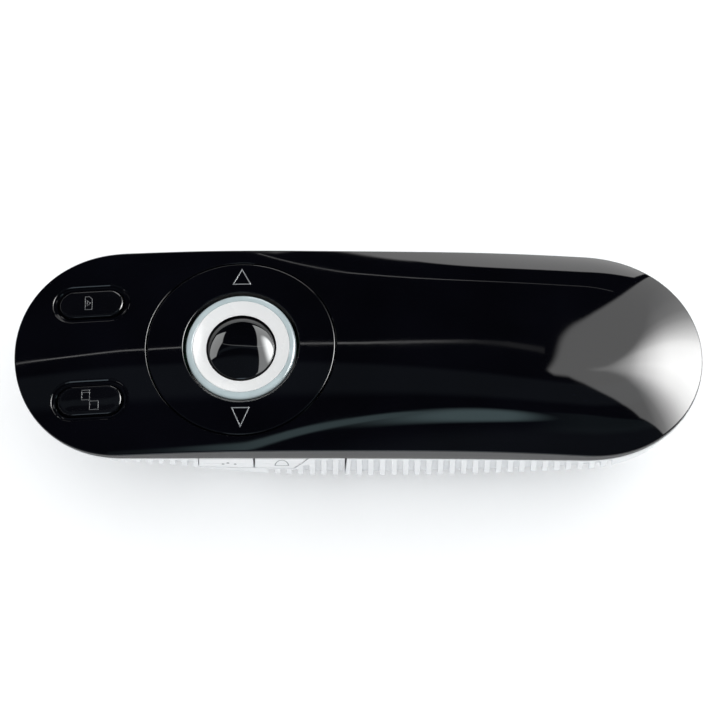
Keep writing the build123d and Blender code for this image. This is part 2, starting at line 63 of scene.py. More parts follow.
LEAN = Matrix.Translation((SX * MM, 0, 0.02175)) @ Matrix.Rotation(math.radians(-3.0), 4, "Y") @ Matrix.Translation((-SX * MM, 0, -0.02175))
OVAL = Matrix.Translation((SX * MM, 0, 0)) @ Matrix.Diagonal((1.0, 1.03, 1.0, 1.0)) @ Matrix.Translation((-SX * MM, 0, 0))


def zpart(x):
    x = np.asarray(x, float)
    a = np.abs(x) ** 4
    return Z_PART - PART_DROP * a / (a + np.where(x < 0, PART_KL, PART_KR) ** 4)


def uend(x, ins=0.0):
    x = np.asarray(x, float)
    return np.where(x < XL, (XL - x) / (HALF_L + XL - ins), np.where(x > XR, (x - XR) / (HALF_L - XR - ins), 0.0))


def half_w(x, ins=0.0):
    return HALF_W - TAPER * np.tanh((np.asarray(x, float) + 12) / 22) - ins


def rise(x):
    x = np.asarray(x, float)
    d = np.where(x < KEEL_X, (KEEL_X - x) / KEEL_L, (x - KEEL_X) / KEEL_R)
    return np.sin(np.pi / 2 * np.minimum(1.0, d)) ** 2


def hull_y(x, z, ins=0.0, floor=0.0):
    x = np.asarray(x, float); z = np.asarray(z, float)
    s = np.clip((zpart(x) - z) / (DEPTH - floor), 0, 1)
    c = KEEL_C * rise(x)
    m = BOX_MID + (BOX_END - BOX_MID) * rise(x)
    h = (1 - s ** m) ** (1 / m)
    r = np.maximum((h - c) / (1 - c), 0)
    k = math.sqrt(1 + EPS * EPS) - EPS
    g = (r * k + EPS) ** 2 - EPS ** 2 - uend(x, ins) ** END_N
    return half_w(x, ins) * np.sqrt(np.maximum(g, 0))


def rim_z(x): return sum(c * (x / 60.0) ** i for i, c in enumerate(RIM))
def crown(x): return 2.08 + 0.6 / (1 + np.exp(-(x - 6) / 9))
def crown_m(x): return 1 + 0.9 / (1 + np.exp(-(x - 20) / 12))


def top_z(x, y):
    x = np.asarray(x, float); y = np.asarray(y, float)
    g = uend(x) ** END_N + (y / half_w(x)) ** 2
    return rim_z(x) + crown(x) * (1 - g ** crown_m(x))


def top_n(x, y):
    e = 0.01
    dx = (top_z(x + e, y) - top_z(x - e, y)) / (2 * e)
    dy = (top_z(x, y + e) - top_z(x, y - e)) / (2 * e)
    n = np.stack([-dx, -dy, np.ones_like(dx)], -1)
    return n / np.linalg.norm(n, axis=-1, keepdims=True)


def unit(v):
    return v / np.maximum(np.linalg.norm(v, axis=-1, keepdims=True), 1e-12)


# ---------------------------------------------------------------------------
# Mesh building: vertices with their own true normals
# ---------------------------------------------------------------------------
class Build:
    def __init__(self):
        self.v, self.n, self.f, self.count = [], [], [], 0

    def add(self, pts, nrm):
        pts = np.asarray(pts, float).reshape(-1, 3); nrm = np.asarray(nrm, float).reshape(-1, 3)
        i = np.arange(self.count, self.count + len(pts))
        self.v.append(pts); self.n.append(nrm); self.count += len(pts)
        return i

    def strip(self, a, b, closed=True, flip=False):
        """Quads between two rings of indices."""
        m = len(a)
        for i in range(m if closed else m - 1):
            j = (i + 1) % m
            q = [a[i], a[j], b[j], b[i]]
            q = [k for t, k in enumerate(q) if k != q[t - 1]]
            if len(set(q)) >= 3:
                self.f.append(tuple(reversed(q)) if flip else tuple(q))

    def fan(self, ring, c, flip=False):
        m = len(ring)
        for i in range(m):
            q = (ring[i], ring[(i + 1) % m], c)
            self.f.append(tuple(reversed(q)) if flip else q)

    def make(self, name, mat=None, sharp=38.0, custom=True):
        v = np.concatenate(self.v); n = np.concatenate(self.n)
        me = bpy.data.meshes.new(name)
        me.from_pydata((v * MM).tolist(), [], [tuple(int(k) for k in q) for q in self.f])
        me.update()
        me.polygons.foreach_set("use_smooth", [True] * len(me.polygons))
        if custom:
            fn = np.zeros(len(me.polygons) * 3); me.polygons.foreach_get("normal", fn); fn = fn.reshape(-1, 3)
            nl = len(me.loops)
            vi = np.zeros(nl, np.int32); me.loops.foreach_get("vertex_index", vi)
            lt = np.zeros(len(me.polygons), np.int32); me.polygons.foreach_get("loop_total", lt)
            pf = np.repeat(np.arange(len(me.polygons)), lt)
            ln = unit(n)[vi]
            ok = (ln * fn[pf]).sum(1) > math.cos(math.radians(sharp))
            ln = np.where(ok[:, None], ln, fn[pf])
            me.normals_split_custom_set(ln.tolist())
        ob = bpy.data.objects.new(name, me)
        bpy.context.scene.collection.objects.link(ob)
        if mat:
            me.materials.append(mat)
        return ob


def pill_loop(cx, cy, length, width, n=96):
    """Points and outward normals of a full-round slot along x, anticlockwise."""
    r, a = width / 2, (length - width) / 2
    per = 2 * math.pi * r + 4 * a
    pts, nr = [], []
    for i in range(n):
        s = per * i / n
        if s < math.pi * r / 2:
            t = s / r; c = (a, 0); p = (math.cos(t), math.sin(t))
        elif s < math.pi * r / 2 + 2 * a:
            q = s - math.pi * r / 2; c = (a - q, 0); p = (0, 1)
        elif s < math.pi * r * 1.5 + 2 * a:
            t = (s - 2 * a) / r; c = (-a, 0); p = (math.cos(t), math.sin(t))
        elif s < math.pi * r * 1.5 + 4 * a:
            q = s - math.pi * r * 1.5 - 2 * a; c = (-a + q, 0); p = (0, -1)
        else:
            t = (s - 4 * a) / r; c = (a, 0); p = (math.cos(t), math.sin(t))
        pts.append((cx + c[0] + r * p[0], cy + c[1] + r * p[1])); nr.append(p)
    return np.array(pts), np.array(nr)


def circle_loop(cx, cy, r, n=192):
    t = np.linspace(0, 2 * np.pi, n, endpoint=False)
    p = np.stack([np.cos(t), np.sin(t)], 1)
    return np.array([cx, cy]) + r * p, p


def plan_loop(ins=0.0, n_end=64, step=0.8):
    """Body outline inset by ins, anticlockwise, with outward normals."""
    ph = np.linspace(0, np.pi / 2, n_end)
    u = np.sin(ph) ** (2 / END_N)
    xr = XR + (HALF_L - XR - ins) * u; xl = XL - (HALF_L + XL - ins) * u
    mid = np.linspace(XR, XL, int((XR - XL) / step))
    yr = half_w(xr, ins) * np.cos(ph); yl = half_w(xl, ins) * np.cos(ph)
    top = np.concatenate([np.stack([xr[::-1], yr[::-1]], 1), np.stack([mid[1:-1], half_w(mid[1:-1], ins)], 1), np.stack([xl, yl], 1)])
    bot = top[1:-1][::-1] * np.array([1, -1])
    p = np.concatenate([top, bot])
    x, y = p[:, 0], p[:, 1]
    e = 1e-3
    def g(x, y): return uend(x, ins) ** END_N + (y / half_w(x, ins)) ** 2
    gr = np.stack([(g(x + e, y) - g(x - e, y)) / (2 * e), (g(x, y + e) - g(x, y - e)) / (2 * e)], 1)
    return p, unit(gr)


def crown_rings(b, loop, nrm, profile, flip=False, oval=None):
    """Sweep (offset outward, height) with profile normals round a loop on the crown.
    A profile row is (o, dz, no, nz, mode): mode 0 adds dz to the crown, mode 1 is an absolute z."""
    rings = []
    for o, dz, no, nz, mode in profile:
        p = loop + nrm * o
        if oval:
            f = min(1.0, max(0.0, (ROCK_R - 1.0 - o) / (ROCK_R - 1.0 - ROCK_IN)))
            p = np.column_stack([p[:, 0], p[:, 1] * (1 + (oval - 1) * f)])
        if mode == 0:
            z = top_z(p[:, 0], p[:, 1]) + dz
        elif mode == 2:
            z = zpart(p[:, 0]) + dz
        elif mode == 4:
            z = np.maximum(top_z(p[:, 0], p[:, 1]) + dz, zpart(p[:, 0]) + 0.06)
        else:
            z = np.full(len(p), float(dz))
        N = top_n(p[:, 0], p[:, 1])
        h = np.concatenate([nrm, np.zeros((len(p), 1))], 1)
        N = unit(no * h + nz * N) if mode == 0 or nz > 0 else unit(no * h + nz * np.array([0, 0, 1.0]))
        rings.append(b.add(np.column_stack([p, z]), N))
    for r0, r1 in zip(rings[:-1], rings[1:]):
        b.strip(r0, r1, flip=flip)
    return rings


def arc(o0, z0, r, a0, a1, n, mode=0):
    """Profile arc about (o0, z0): angle 0 is outward, 90 is up."""
    out = []
    for i in range(n + 1):
        a = math.radians(a0 + (a1 - a0) * i / n)
        out.append((o0 + r * math.cos(a), z0 + r * math.sin(a), math.cos(a), math.sin(a), mode))
    return out


def fill_crown(b, outer, holes, drop, spacing=0.8, flip=False, low=None):
    """Triangulate the crown between an outer ring and hole rings (index arrays)."""
    v = np.concatenate(b.v)
    loops = [v[outer][:, :2]] + [v[h][:, :2] for h in holes]
    idx = np.concatenate([outer] + list(holes))
    pts = np.concatenate(loops)
    edges, k = [], 0
    for lp in loops:
        m = len(lp)
        edges += [(k + i, k + (i + 1) % m) for i in range(m)]
        k += m
    def inpoly(P, lp):
        x, y = P[:, 0], P[:, 1]; c = np.zeros(len(P), bool)
        xj, yj = lp[-1]
        for xi, yi in lp:
            if yi != yj:
                cond = ((yi > y) != (yj > y)) & (x < (xj - xi) * (y - yi) / (yj - yi) + xi)
                c ^= cond
            xj, yj = xi, yi
        return c
    gx = np.arange(pts[:, 0].min(), pts[:, 0].max(), spacing)
    gy = np.arange(pts[:, 1].min(), pts[:, 1].max(), spacing * 0.87)
    G = np.array([(x + (0.5 * spacing if j % 2 else 0), y) for j, y in enumerate(gy) for x in gx])
    def shrink(lp, d):
        c = np.roll(lp, -1, 0) - np.roll(lp, 1, 0)
        nn = unit(np.stack([c[:, 1], -c[:, 0]], 1))
        return lp - nn * d
    keep = inpoly(G, shrink(loops[0], spacing * 0.5))
    for lp in loops[1:]:
        keep &= ~inpoly(G, shrink(lp, -spacing * 0.5))
    G = G[keep]
    allp = np.concatenate([pts, G])
    r = delaunay_2d_cdt([Vector((float(a), float(c))) for a, c in allp], edges, [], 0, 1e-7)
    vc, fc, ov = r[0], r[2], r[3]
    zg = top_z(G[:, 0], G[:, 1]) + drop
    if low is not None:
        zg = np.maximum(zg, zpart(G[:, 0]) + low)
    gi = b.add(np.column_stack([G, zg]), top_n(G[:, 0], G[:, 1]) * (1 if not flip else -1))
    glob = np.concatenate([idx, gi])
    vc = np.array([(p.x, p.y) for p in vc])
    cen = np.array([vc[list(f)].mean(0) for f in fc])
    ok = inpoly(cen, loops[0])
    for lp in loops[1:]:
        ok &= ~inpoly(cen, lp)
    m = [int(glob[o[0]]) for o in ov]
    for f, k in zip(fc, ok):
        if k:
            q = tuple(m[i] for i in f)
            b.f.append(tuple(reversed(q)) if flip else q)


def join_parts(name, objs, mat=None):
    """Join helper meshes into one object, keeping each one's normals."""
    bpy.ops.object.select_all(action="DESELECT")
    for o in objs:
        o.select_set(True)
    bpy.context.view_layer.objects.active = objs[0]
    bpy.ops.object.join()
    ob = bpy.context.view_layer.objects.active
    ob.name = name; ob.data.name = name
    return ob


def bevel_box(name, x0, x1, y0, y1, z0, z1, r=0.2, mat=None, seg=2):
    bm = bmesh.new()
    bmesh.ops.create_cube(bm, size=1.0)
    for v in bm.verts:
        v.co = Vector((x0 if v.co.x < 0 else x1, y0 if v.co.y < 0 else y1, z0 if v.co.z < 0 else z1)) * MM
    bmesh.ops.bevel(bm, geom=list(bm.edges), offset=r * MM, segments=seg, affect="EDGES", profile=0.5)
    me = bpy.data.meshes.new(name); bm.to_mesh(me); bm.free()
    me.polygons.foreach_set("use_smooth", [True] * len(me.polygons))
    ob = bpy.data.objects.new(name, me); bpy.context.scene.collection.objects.link(ob)
    me.set_sharp_from_angle(angle=math.radians(40))
    if mat: me.materials.append(mat)
    return ob


def lathe(name, prof, cx, cy, mat=None, n=160, sharp=40.0, axis="z", smooth_prof=True):
    """Revolve a closed (r, z) profile; corners of the profile stay crisp."""
    b = Build()
    P = np.array(prof, float); m = len(P)
    d = np.roll(P, -1, 0) - P
    en = unit(np.stack([d[:, 1], -d[:, 0]], 1))
    vn = unit(en + np.roll(en, 1, 0))
    t = np.linspace(0, 2 * np.pi, n, endpoint=False)
    rings = []
    for (r, z), nn in zip(P, vn):
        if r < 1e-6:
            i = b.add([(cx, cy, z)], [(0, 0, 1.0 if nn[1] > 0 else -1.0)])
            rings.append(np.repeat(i, n))
        else:
            rings.append(b.add(np.stack([cx + r * np.cos(t), cy + r * np.sin(t), np.full(n, z)], 1),
                               np.stack([nn[0] * np.cos(t), nn[0] * np.sin(t), np.full(n, nn[1])], 1)))
    for i in range(m):
        j = (i + 1) % m
        if P[i][0] < 1e-6 and P[j][0] < 1e-6:
            continue
        b.strip(rings[i], rings[j])
    ob = b.make(name, mat, sharp=sharp)
    if axis == "x":
        ob.data.transform(Matrix.Rotation(math.radians(90), 4, "Y"))
    return ob


def rounded(prof, r, n=5):
    """Round the corners of a closed (r, z) polygon."""
    P = [Vector(p) for p in prof]; out = []
    m = len(P)
    for i in range(m):
        a, p, c = P[i - 1], P[i], P[(i + 1) % m]
        if p.x < 1e-6:
            out.append(tuple(p)); continue
        u, w = (a - p), (c - p)
        rr = min(r, u.length * 0.45, w.length * 0.45)
        u.normalize(); w.normalize()
        ang = u.angle(w)
        if ang > math.radians(165) or rr < 1e-4:
            out.append(tuple(p)); continue
        for k in range(n + 1):
            t = k / n
            q = (p + u * rr) * (1 - t) ** 2 + p * 2 * t * (1 - t) + (p + w * rr) * t ** 2
            out.append((q.x, q.y))
    return out


# ---------------------------------------------------------------------------
# Materials
# ---------------------------------------------------------------------------
def material(name, color, rough, metallic=0.0, coat=0.0, coat_rough=0.03, ior=1.5, spec=0.5,
             var=0.0, var_scale=300.0, bump=0.0, bump_scale=1500.0, rough_var=0.0, rough_scale=200.0,
             transmission=0.0, emission=0.0, em_color=None, sub=0.0, detail=4.0, stretch=None):
    m = bpy.data.materials.new(name); m.use_nodes = True
    nt = m.node_tree; nd = nt.nodes; ln = nt.links
    p = nd["Principled BSDF"]
    p.inputs["Base Color"].default_value = (*color, 1)
    p.inputs["Roughness"].default_value = rough
    p.inputs["Metallic"].default_value = metallic
    p.inputs["IOR"].default_value = ior
    p.inputs["Specular IOR Level"].default_value = spec
    p.inputs["Coat Weight"].default_value = coat
    p.inputs["Coat Roughness"].default_value = coat_rough
    p.inputs["Transmission Weight"].default_value = transmission
    if sub:
        p.inputs["Subsurface Weight"].default_value = sub
        p.inputs["Subsurface Radius"].default_value = (0.0012, 0.0011, 0.001)
        p.inputs["Subsurface Scale"].default_value = 1.0
    if emission:
        p.inputs["Emission Color"].default_value = (*(em_color or color), 1)
        p.inputs["Emission Strength"].default_value = emission
    tc = nd.new("ShaderNodeTexCoord")
    src = tc.outputs["Object"]
    if stretch:
        mp = nd.new("ShaderNodeMapping"); mp.inputs["Scale"].default_value = stretch
        ln.new(src, mp.inputs["Vector"]); src = mp.outputs["Vector"]
    if var:
        n1 = nd.new("ShaderNodeTexNoise"); n1.inputs["Scale"].default_value = var_scale; n1.inputs["Detail"].default_value = detail
        ln.new(src, n1.inputs["Vector"])
        r1 = nd.new("ShaderNodeValToRGB")
        r1.color_ramp.elements[0].position = 0.3; r1.color_ramp.elements[1].position = 0.7
        r1.color_ramp.elements[0].color = (*[c * (1 - var) for c in color], 1)
        r1.color_ramp.elements[1].color = (*[min(1, c * (1 + var)) for c in color], 1)
        ln.new(n1.outputs["Fac"], r1.inputs["Fac"]); ln.new(r1.outputs["Color"], p.inputs["Base Color"])
    if rough_var:
        n2 = nd.new("ShaderNodeTexNoise"); n2.inputs["Scale"].default_value = rough_scale; n2.inputs["Detail"].default_value = 6.0
        ln.new(src, n2.inputs["Vector"])
        mr = nd.new("ShaderNodeMapRange")
        mr.inputs["From Min"].default_value = 0.3; mr.inputs["From Max"].default_value = 0.7
        mr.inputs["To Min"].default_value = max(0.0, rough - rough_var); mr.inputs["To Max"].default_value = rough + rough_var
        ln.new(n2.outputs["Fac"], mr.inputs["Value"]); ln.new(mr.outputs["Result"], p.inputs["Roughness"])
    if bump:
        n3 = nd.new("ShaderNodeTexNoise"); n3.inputs["Scale"].default_value = bump_scale; n3.inputs["Detail"].default_value = 3.0
        ln.new(src, n3.inputs["Vector"])
        bp = nd.new("ShaderNodeBump"); bp.inputs["Strength"].default_value = bump; bp.inputs["Distance"].default_value = 0.00005
        ln.new(n3.outputs["Fac"], bp.inputs["Height"]); ln.new(bp.outputs["Normal"], p.inputs["Normal"])
    return m


M_BLACK = material("piano_black", (0.0016, 0.0017, 0.0030), 0.03, ior=1.52,
                   var=0.25, var_scale=60, rough_var=0.015, rough_scale=90, bump=0.004, bump_scale=260)
M_KEY = material("key_black", (0.0024, 0.0026, 0.0040), 0.06, ior=1.5, coat=0.2, coat_rough=0.05,
                 var=0.25, var_scale=80, rough_var=0.03, rough_scale=140, bump=0.01, bump_scale=500)
M_DOME = material("dome_black", (0.0016, 0.0017, 0.0028), 0.03, ior=1.52, coat=0.4, coat_rough=0.02,
                  var=0.3, var_scale=120, rough_var=0.015, rough_scale=150)
M_WHITE = material("case_white", (0.80, 0.815, 0.83), 0.42, ior=1.46, sub=0.08,
                   var=0.025, var_scale=45, rough_var=0.06, rough_scale=160, bump=0.10, bump_scale=2600)
M_WHITE_KEY = material("side_key_white", (0.80, 0.812, 0.825), 0.36, ior=1.46, sub=0.08,
                       var=0.02, var_scale=70, rough_var=0.05, rough_scale=200, bump=0.07, bump_scale=3000)
M_RING = material("ring_white", (0.77, 0.775, 0.775), 0.28, ior=1.47, sub=0.10,
                  var=0.015, var_scale=90, rough_var=0.05, rough_scale=160, bump=0.03, bump_scale=1800)
M_HALO = material("halo_blue_grey", (0.44, 0.52, 0.54), 0.18, ior=1.47, coat=0.5, coat_rough=0.06,
                  var=0.10, var_scale=260, rough_var=0.05, rough_scale=240, bump=0.02, bump_scale=900)
M_ICON = material("engraved_grey", (0.20, 0.21, 0.22), 0.35, var=0.15, var_scale=800, rough_var=0.08, rough_scale=600)
M_ICON_KEY = material("engraved_key_grey", (0.075, 0.078, 0.082), 0.4, var=0.15, var_scale=800, rough_var=0.08, rough_scale=600)
M_DOT = material("print_grey", (0.30, 0.32, 0.33), 0.5, var=0.12, var_scale=900, rough_var=0.05, rough_scale=700)
M_INNER = material("inner_grey", (0.055, 0.058, 0.062), 0.5, var=0.15, var_scale=120, rough_var=0.1, rough_scale=200,
                   bump=0.2, bump_scale=2200)
M_STEEL = material("spring_steel", (0.62, 0.62, 0.60), 0.25, metallic=1.0, var=0.12, var_scale=900, rough_var=0.1,
                   rough_scale=700, bump=0.08, bump_scale=2500, stretch=(1, 6, 1))
M_ZINC = material("zinc_screw", (0.45, 0.46, 0.47), 0.32, metallic=1.0, var=0.2, var_scale=1200, rough_var=0.12,
                  rough_scale=900, bump=0.1, bump_scale=3000)
M_BRASS = material("turned_brass", (0.62, 0.43, 0.16), 0.24, metallic=1.0, var=0.15, var_scale=500, rough_var=0.1,
                   rough_scale=500, bump=0.15, bump_scale=2000, stretch=(8, 1, 1))
M_PLUG = material("plated_plug", (0.66, 0.67, 0.68), 0.22, metallic=1.0, var=0.08, var_scale=500, rough_var=0.1,
                  rough_scale=400, bump=0.06, bump_scale=1600, stretch=(1, 5, 1))
M_TONGUE = material("tongue_white", (0.72, 0.72, 0.69), 0.45, var=0.05, var_scale=300, rough_var=0.08, rough_scale=300)
M_CHIP = material("chip_black", (0.02, 0.02, 0.021), 0.55, var=0.3, var_scale=900, rough_var=0.12, rough_scale=700,
                  bump=0.2, bump_scale=3500)
M_SWITCH = material("switch_dark", (0.035, 0.035, 0.038), 0.4, var=0.2, var_scale=700, rough_var=0.1, rough_scale=500)
M_LENS = material("lens_clear", (0.86, 0.92, 0.95), 0.03, transmission=0.9, ior=1.5, var=0.02, var_scale=200, rough_var=0.01)
M_WINDOW = material("window_red", (0.10, 0.012, 0.014), 0.06, transmission=0.35, ior=1.5, coat=0.5,
                    var=0.15, var_scale=300, rough_var=0.03, rough_scale=400)


def pcb_material():
    m = material("solder_mask", (0.012, 0.10, 0.05), 0.32, coat=0.4, coat_rough=0.15, rough_var=0.08, rough_scale=300,
                 bump=0.1, bump_scale=1400)
    nt = m.node_tree; nd = nt.nodes; ln = nt.links; p = nd["Principled BSDF"]
    tc = nd.new("ShaderNodeTexCoord")
    br = nd.new("ShaderNodeTexBrick"); br.inputs["Scale"].default_value = 420.0
    br.inputs["Color1"].default_value = (0.012, 0.10, 0.05, 1); br.inputs["Color2"].default_value = (0.014, 0.115, 0.058, 1)
    br.inputs["Mortar"].default_value = (0.03, 0.19, 0.10, 1); br.inputs["Mortar Size"].default_value = 0.03
    ln.new(tc.outputs["Object"], br.inputs["Vector"]); ln.new(br.outputs["Color"], p.inputs["Base Color"])
    return m


def cell_material():
    m = material("cell_wrap", (0.03, 0.16, 0.09), 0.28, metallic=0.35, coat=0.5, coat_rough=0.1, rough_var=0.05, rough_scale=200)
    nt = m.node_tree; nd = nt.nodes; ln = nt.links; p = nd["Principled BSDF"]
    tc = nd.new("ShaderNodeTexCoord"); sp = nd.new("ShaderNodeSeparateXYZ"); cr = nd.new("ShaderNodeValToRGB")
    mr = nd.new("ShaderNodeMapRange")
    mr.inputs["From Min"].default_value = 0.0032; mr.inputs["From Max"].default_value = 0.0469
    ln.new(tc.outputs["Object"], sp.inputs["Vector"]); ln.new(sp.outputs["X"], mr.inputs["Value"]); ln.new(mr.outputs["Result"], cr.inputs["Fac"])
    e = cr.color_ramp; e.interpolation = "CONSTANT"
    e.elements[0].position = 0.0; e.elements[0].color = (0.60, 0.60, 0.58, 1)
    e.elements[1].position = 0.02; e.elements[1].color = (0.02, 0.10, 0.06, 1)
    k = e.elements.new(0.28); k.color = (0.035, 0.20, 0.12, 1)
    k = e.elements.new(0.31); k.color = (0.02, 0.10, 0.06, 1)
    k = e.elements.new(0.80); k.color = (0.66, 0.66, 0.62, 1)
    k = e.elements.new(0.83); k.color = (0.02, 0.10, 0.06, 1)
    k = e.elements.new(0.985); k.color = (0.60, 0.60, 0.58, 1)
    ln.new(cr.outputs["Color"], p.inputs["Base Color"])
    return m


M_PCB, M_CELL = pcb_material(), cell_material()
N = frame["nodes"]


def paint(node, mat):
    me = N[node].data
    me.materials.clear(); me.materials.append(mat)
    me.polygons.foreach_set("material_index", [0] * len(me.polygons))


for nodes, mat in ((("battery_tray", "receiver_bay", "stick_base", "stick_post", "laser_holder"), M_INNER),
                   (("cell_a", "cell_b"), M_CELL), (("main_board",), M_PCB), (("board_components",), M_CHIP),
                   (("key_switches", "rocker_switches", "side_switches"), M_SWITCH),
                   (("centering_spring", "battery_springs", "battery_contacts", "gimbal_cross"), M_STEEL),
                   (("laser_barrel",), M_BRASS), (("laser_lens",), M_LENS), (("laser_window",), M_WINDOW),
                   (("receiver_plug",), M_PLUG), (("receiver_tongue",), M_TONGUE), (("tray_screws",), M_ZINC)):
    for n in nodes:
        paint(n, mat)

# ---------------------------------------------------------------------------
# Top cover
# ---------------------------------------------------------------------------
b = Build()
loop, nrm = plan_loop(0.0)


def cover_wall(b, loop, nrm, inset=0.25):
    """The side wall, whose height follows the rim, with a small rounding at the top."""
    zp = zpart(loop[:, 0]) + 0.05
    h = top_z(loop[:, 0], loop[:, 1]) - zp
    r = np.minimum(0.26, 0.45 * h); c = np.minimum(0.10, 0.2 * h)
    hor = np.concatenate([nrm, np.zeros((len(loop), 1))], 1)
    rings = []
    def row(o, z, no, nz):
        p = loop + nrm * (o[:, None] if np.ndim(o) else o)
        rings.append(b.add(np.column_stack([p, z]), unit(no * hor + nz * np.array([0, 0, 1.0]))))
    row(-inset, zp, 0.0, -1.0); row(-c, zp, 0.4, -0.9); row(0 * c, zp + c, 1.0, -0.05)
    row(0 * c, zp + c + (h - c - r) * 0.5, 1.0, 0.0)
    for a in range(0, 91, 10):
        t = math.radians(a)
        p = loop + nrm * (-r + r * math.cos(t))[:, None]
        N = top_n(p[:, 0], p[:, 1])
        rings.append(b.add(np.column_stack([p, top_z(p[:, 0], p[:, 1]) - r + r * math.sin(t)]), unit(math.cos(t) * hor + math.sin(t) * N)))
    for r0, r1 in zip(rings[:-1], rings[1:]):
        b.strip(r0, r1)
    return rings


R = cover_wall(b, loop, nrm)
rim_in, rim_out = R[-1], R[0]
# rocker opening: rounded lip, then a straight wall down to the inner skin
lp, ln_ = circle_loop(SX, SY, ROCK_HOLE)
lip = [(0.16 - 0.16 * math.sin(math.radians(a)), -0.16 + 0.16 * math.cos(math.radians(a)), -math.sin(math.radians(a)), math.cos(math.radians(a)), 0)
       for a in (0, 15, 30, 45, 60, 75, 90)]
HR = crown_rings(b, lp, ln_, lip + [(0.0, -SKIN, -1.0, 0.0, 0)], flip=True)
hole_rings_top, hole_rings_bot = [HR[0]], [HR[-1]]
# key wells: rounded rim, a bevel down, a narrow floor, then the hole
WELL = [(0.30 - 0.30 * math.sin(math.radians(a)), -0.30 + 0.30 * math.cos(math.radians(a)), -math.sin(math.radians(a)), math.cos(math.radians(a)), 0)
        for a in (0, 15, 30, 45, 60)]
WELL += [(-0.16, -0.42, -0.83, 0.55, 0), (-0.24, -0.52, -0.70, 0.70, 0), (-0.34, -0.57, -0.30, 0.95, 0), (-0.50, -0.58, 0.0, 1.0, 0),
         (-0.60, -0.61, -0.5, 0.86, 0), (-0.65, -0.70, -1.0, 0.0, 0), (-0.65, -SKIN, -1.0, 0.0, 0)]
for s in (1, -1):
    lp, ln_ = pill_loop(KEY_X, s * KEY_Y, WELL_L, WELL_W)
    HR = crown_rings(b, lp, ln_, WELL, flip=True)
    hole_rings_top.append(HR[0]); hole_rings_bot.append(HR[-1])
fill_crown(b, rim_in, hole_rings_top, 0.0, spacing=0.8)
# inside of the shell
li, ni = plan_loop(WALL)
inner = [(0.0, 0.05, 0, -1, 2)]
for a in range(0, 91, 15):
    t = math.radians(a)
    inner.append((-0.7 + 0.7 * math.cos(t), -SKIN - 0.7 + 0.7 * math.sin(t), -math.cos(t), -math.sin(t), 4))
RI = crown_rings(b, li, ni, inner, flip=True)
# bottom edge between outer rim and inner wall (rings have the same count)
b.strip(RI[0], rim_out)
fill_crown(b, RI[-1], hole_rings_bot, -SKIN, spacing=1.6, flip=True, low=0.06)
cover = b.make("cover_shell", M_BLACK)
extra = [cover]
for bx, by in BOSS:
    zt = float(top_z(bx, by)) - 1.2
    extra.append(lathe("p", rounded([(1.02, zt - 0.1), (1.02, 12.03), (2.6, 12.03), (2.6, zt)], 0.15) , bx, by, M_BLACK, n=40))
for bx, by in TRAY_TAB:
    zt = float(top_z(bx, by)) - 1.2
    extra.append(lathe("p", rounded([(1.02, zt - 0.1), (1.02, 16.45), (1.8, 16.45), (1.8, zt)], 0.15), bx, by, M_BLACK, n=40))


def ear_with_bore(xc, half, y0, y1, z0, z1, bore_z, r):
    """Bearing ear: a plate across x with a round bore along x."""
    bb = Build(); n = 48
    t = np.linspace(0, 2 * np.pi, n, endpoint=False) + np.pi / n
    cs, sn = np.cos(t), np.sin(t)
    k = np.minimum((y1) / np.maximum(np.abs(cs), 1e-9), np.where(sn > 0, z1 - bore_z, bore_z - z0) / np.maximum(np.abs(sn), 1e-9))
    oy, oz = k * cs, bore_z + k * sn
    iy, iz = r * cs, bore_z + r * sn
    rings = []
    for x, nx in ((xc - half, -1), (xc + half, 1)):
        rings.append((bb.add(np.stack([np.full(n, x), oy, oz], 1), np.tile([nx, 0, 0], (n, 1))),
                      bb.add(np.stack([np.full(n, x), iy, iz], 1), np.tile([nx, 0, 0], (n, 1)))))
    (a, c), (d, e) = rings
    bb.strip(a, c); bb.strip(e, d); bb.strip(d, a); bb.strip(c, e)
    return bb.make("ear", M_BLACK, custom=False)


for s in (-1, 1):
    xc = SX + s * 17.5
    extra.append(ear_with_bore(xc, 0.6, -2.2, 2.2, 17.0, float(top_z(SX + s * 17.5, 2.2)) - 1.4, 18.6, 0.76))
for (xa, xb, ys) in ((6, 33, (1, -1)), (-33, -29.5, (1, -1)), (-24, -8, (1,))):
    for s in ys:
        yw = float(half_w(np.array([xa, xb]), 2.45).mean())
        extra.append(bevel_box("t", xa, xb, min(s * (yw - 0.4), s * (yw + 0.4)), max(s * (yw - 0.4), s * (yw + 0.4)),
                               float(zpart(max(abs(xa), abs(xb)))) - 0.8, float(zpart(xa)) + 1.5, 0.15, M_BLACK))
top = join_parts("top_cover_skin", extra)
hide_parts("top_cover"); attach(top, "body")

# ---------------------------------------------------------------------------
# Slide rocker
# ---------------------------------------------------------------------------
b = Build()
lp, ln_ = circle_loop(SX, SY, 1.0, 240)
lp0 = np.tile([SX, SY], (240, 1)).astype(float)


def rock_prof():
    out = [(ROCK_IN + 0.15, 19.5, 0.0, -1.0, 1), (ROCK_R - 0.15, 19.5, 0.0, -1.0, 1), (ROCK_R, 19.65, 1.0, 0.0, 1)]
    r = 0.18
    for a in (0, 15, 30, 45, 60, 75, 90):
        t = math.radians(a)
        out.append((ROCK_R - r + r * math.cos(t), -r + r * math.sin(t), math.cos(t), math.sin(t), 0))
    for i in range(1, 12):
        out.append((ROCK_R - r - (ROCK_R - ROCK_IN - 2 * r) * i / 12.0, 0.0, 0.0, 1.0, 0))
    for a in (90, 75, 60, 45, 30, 15, 0):
        t = math.radians(a)
        out.append((ROCK_IN + r - r * math.cos(t), -r + r * math.sin(t), -math.cos(t), math.sin(t), 0))
    out.append((ROCK_IN, 19.65, -1.0, 0.0, 1))
    return out


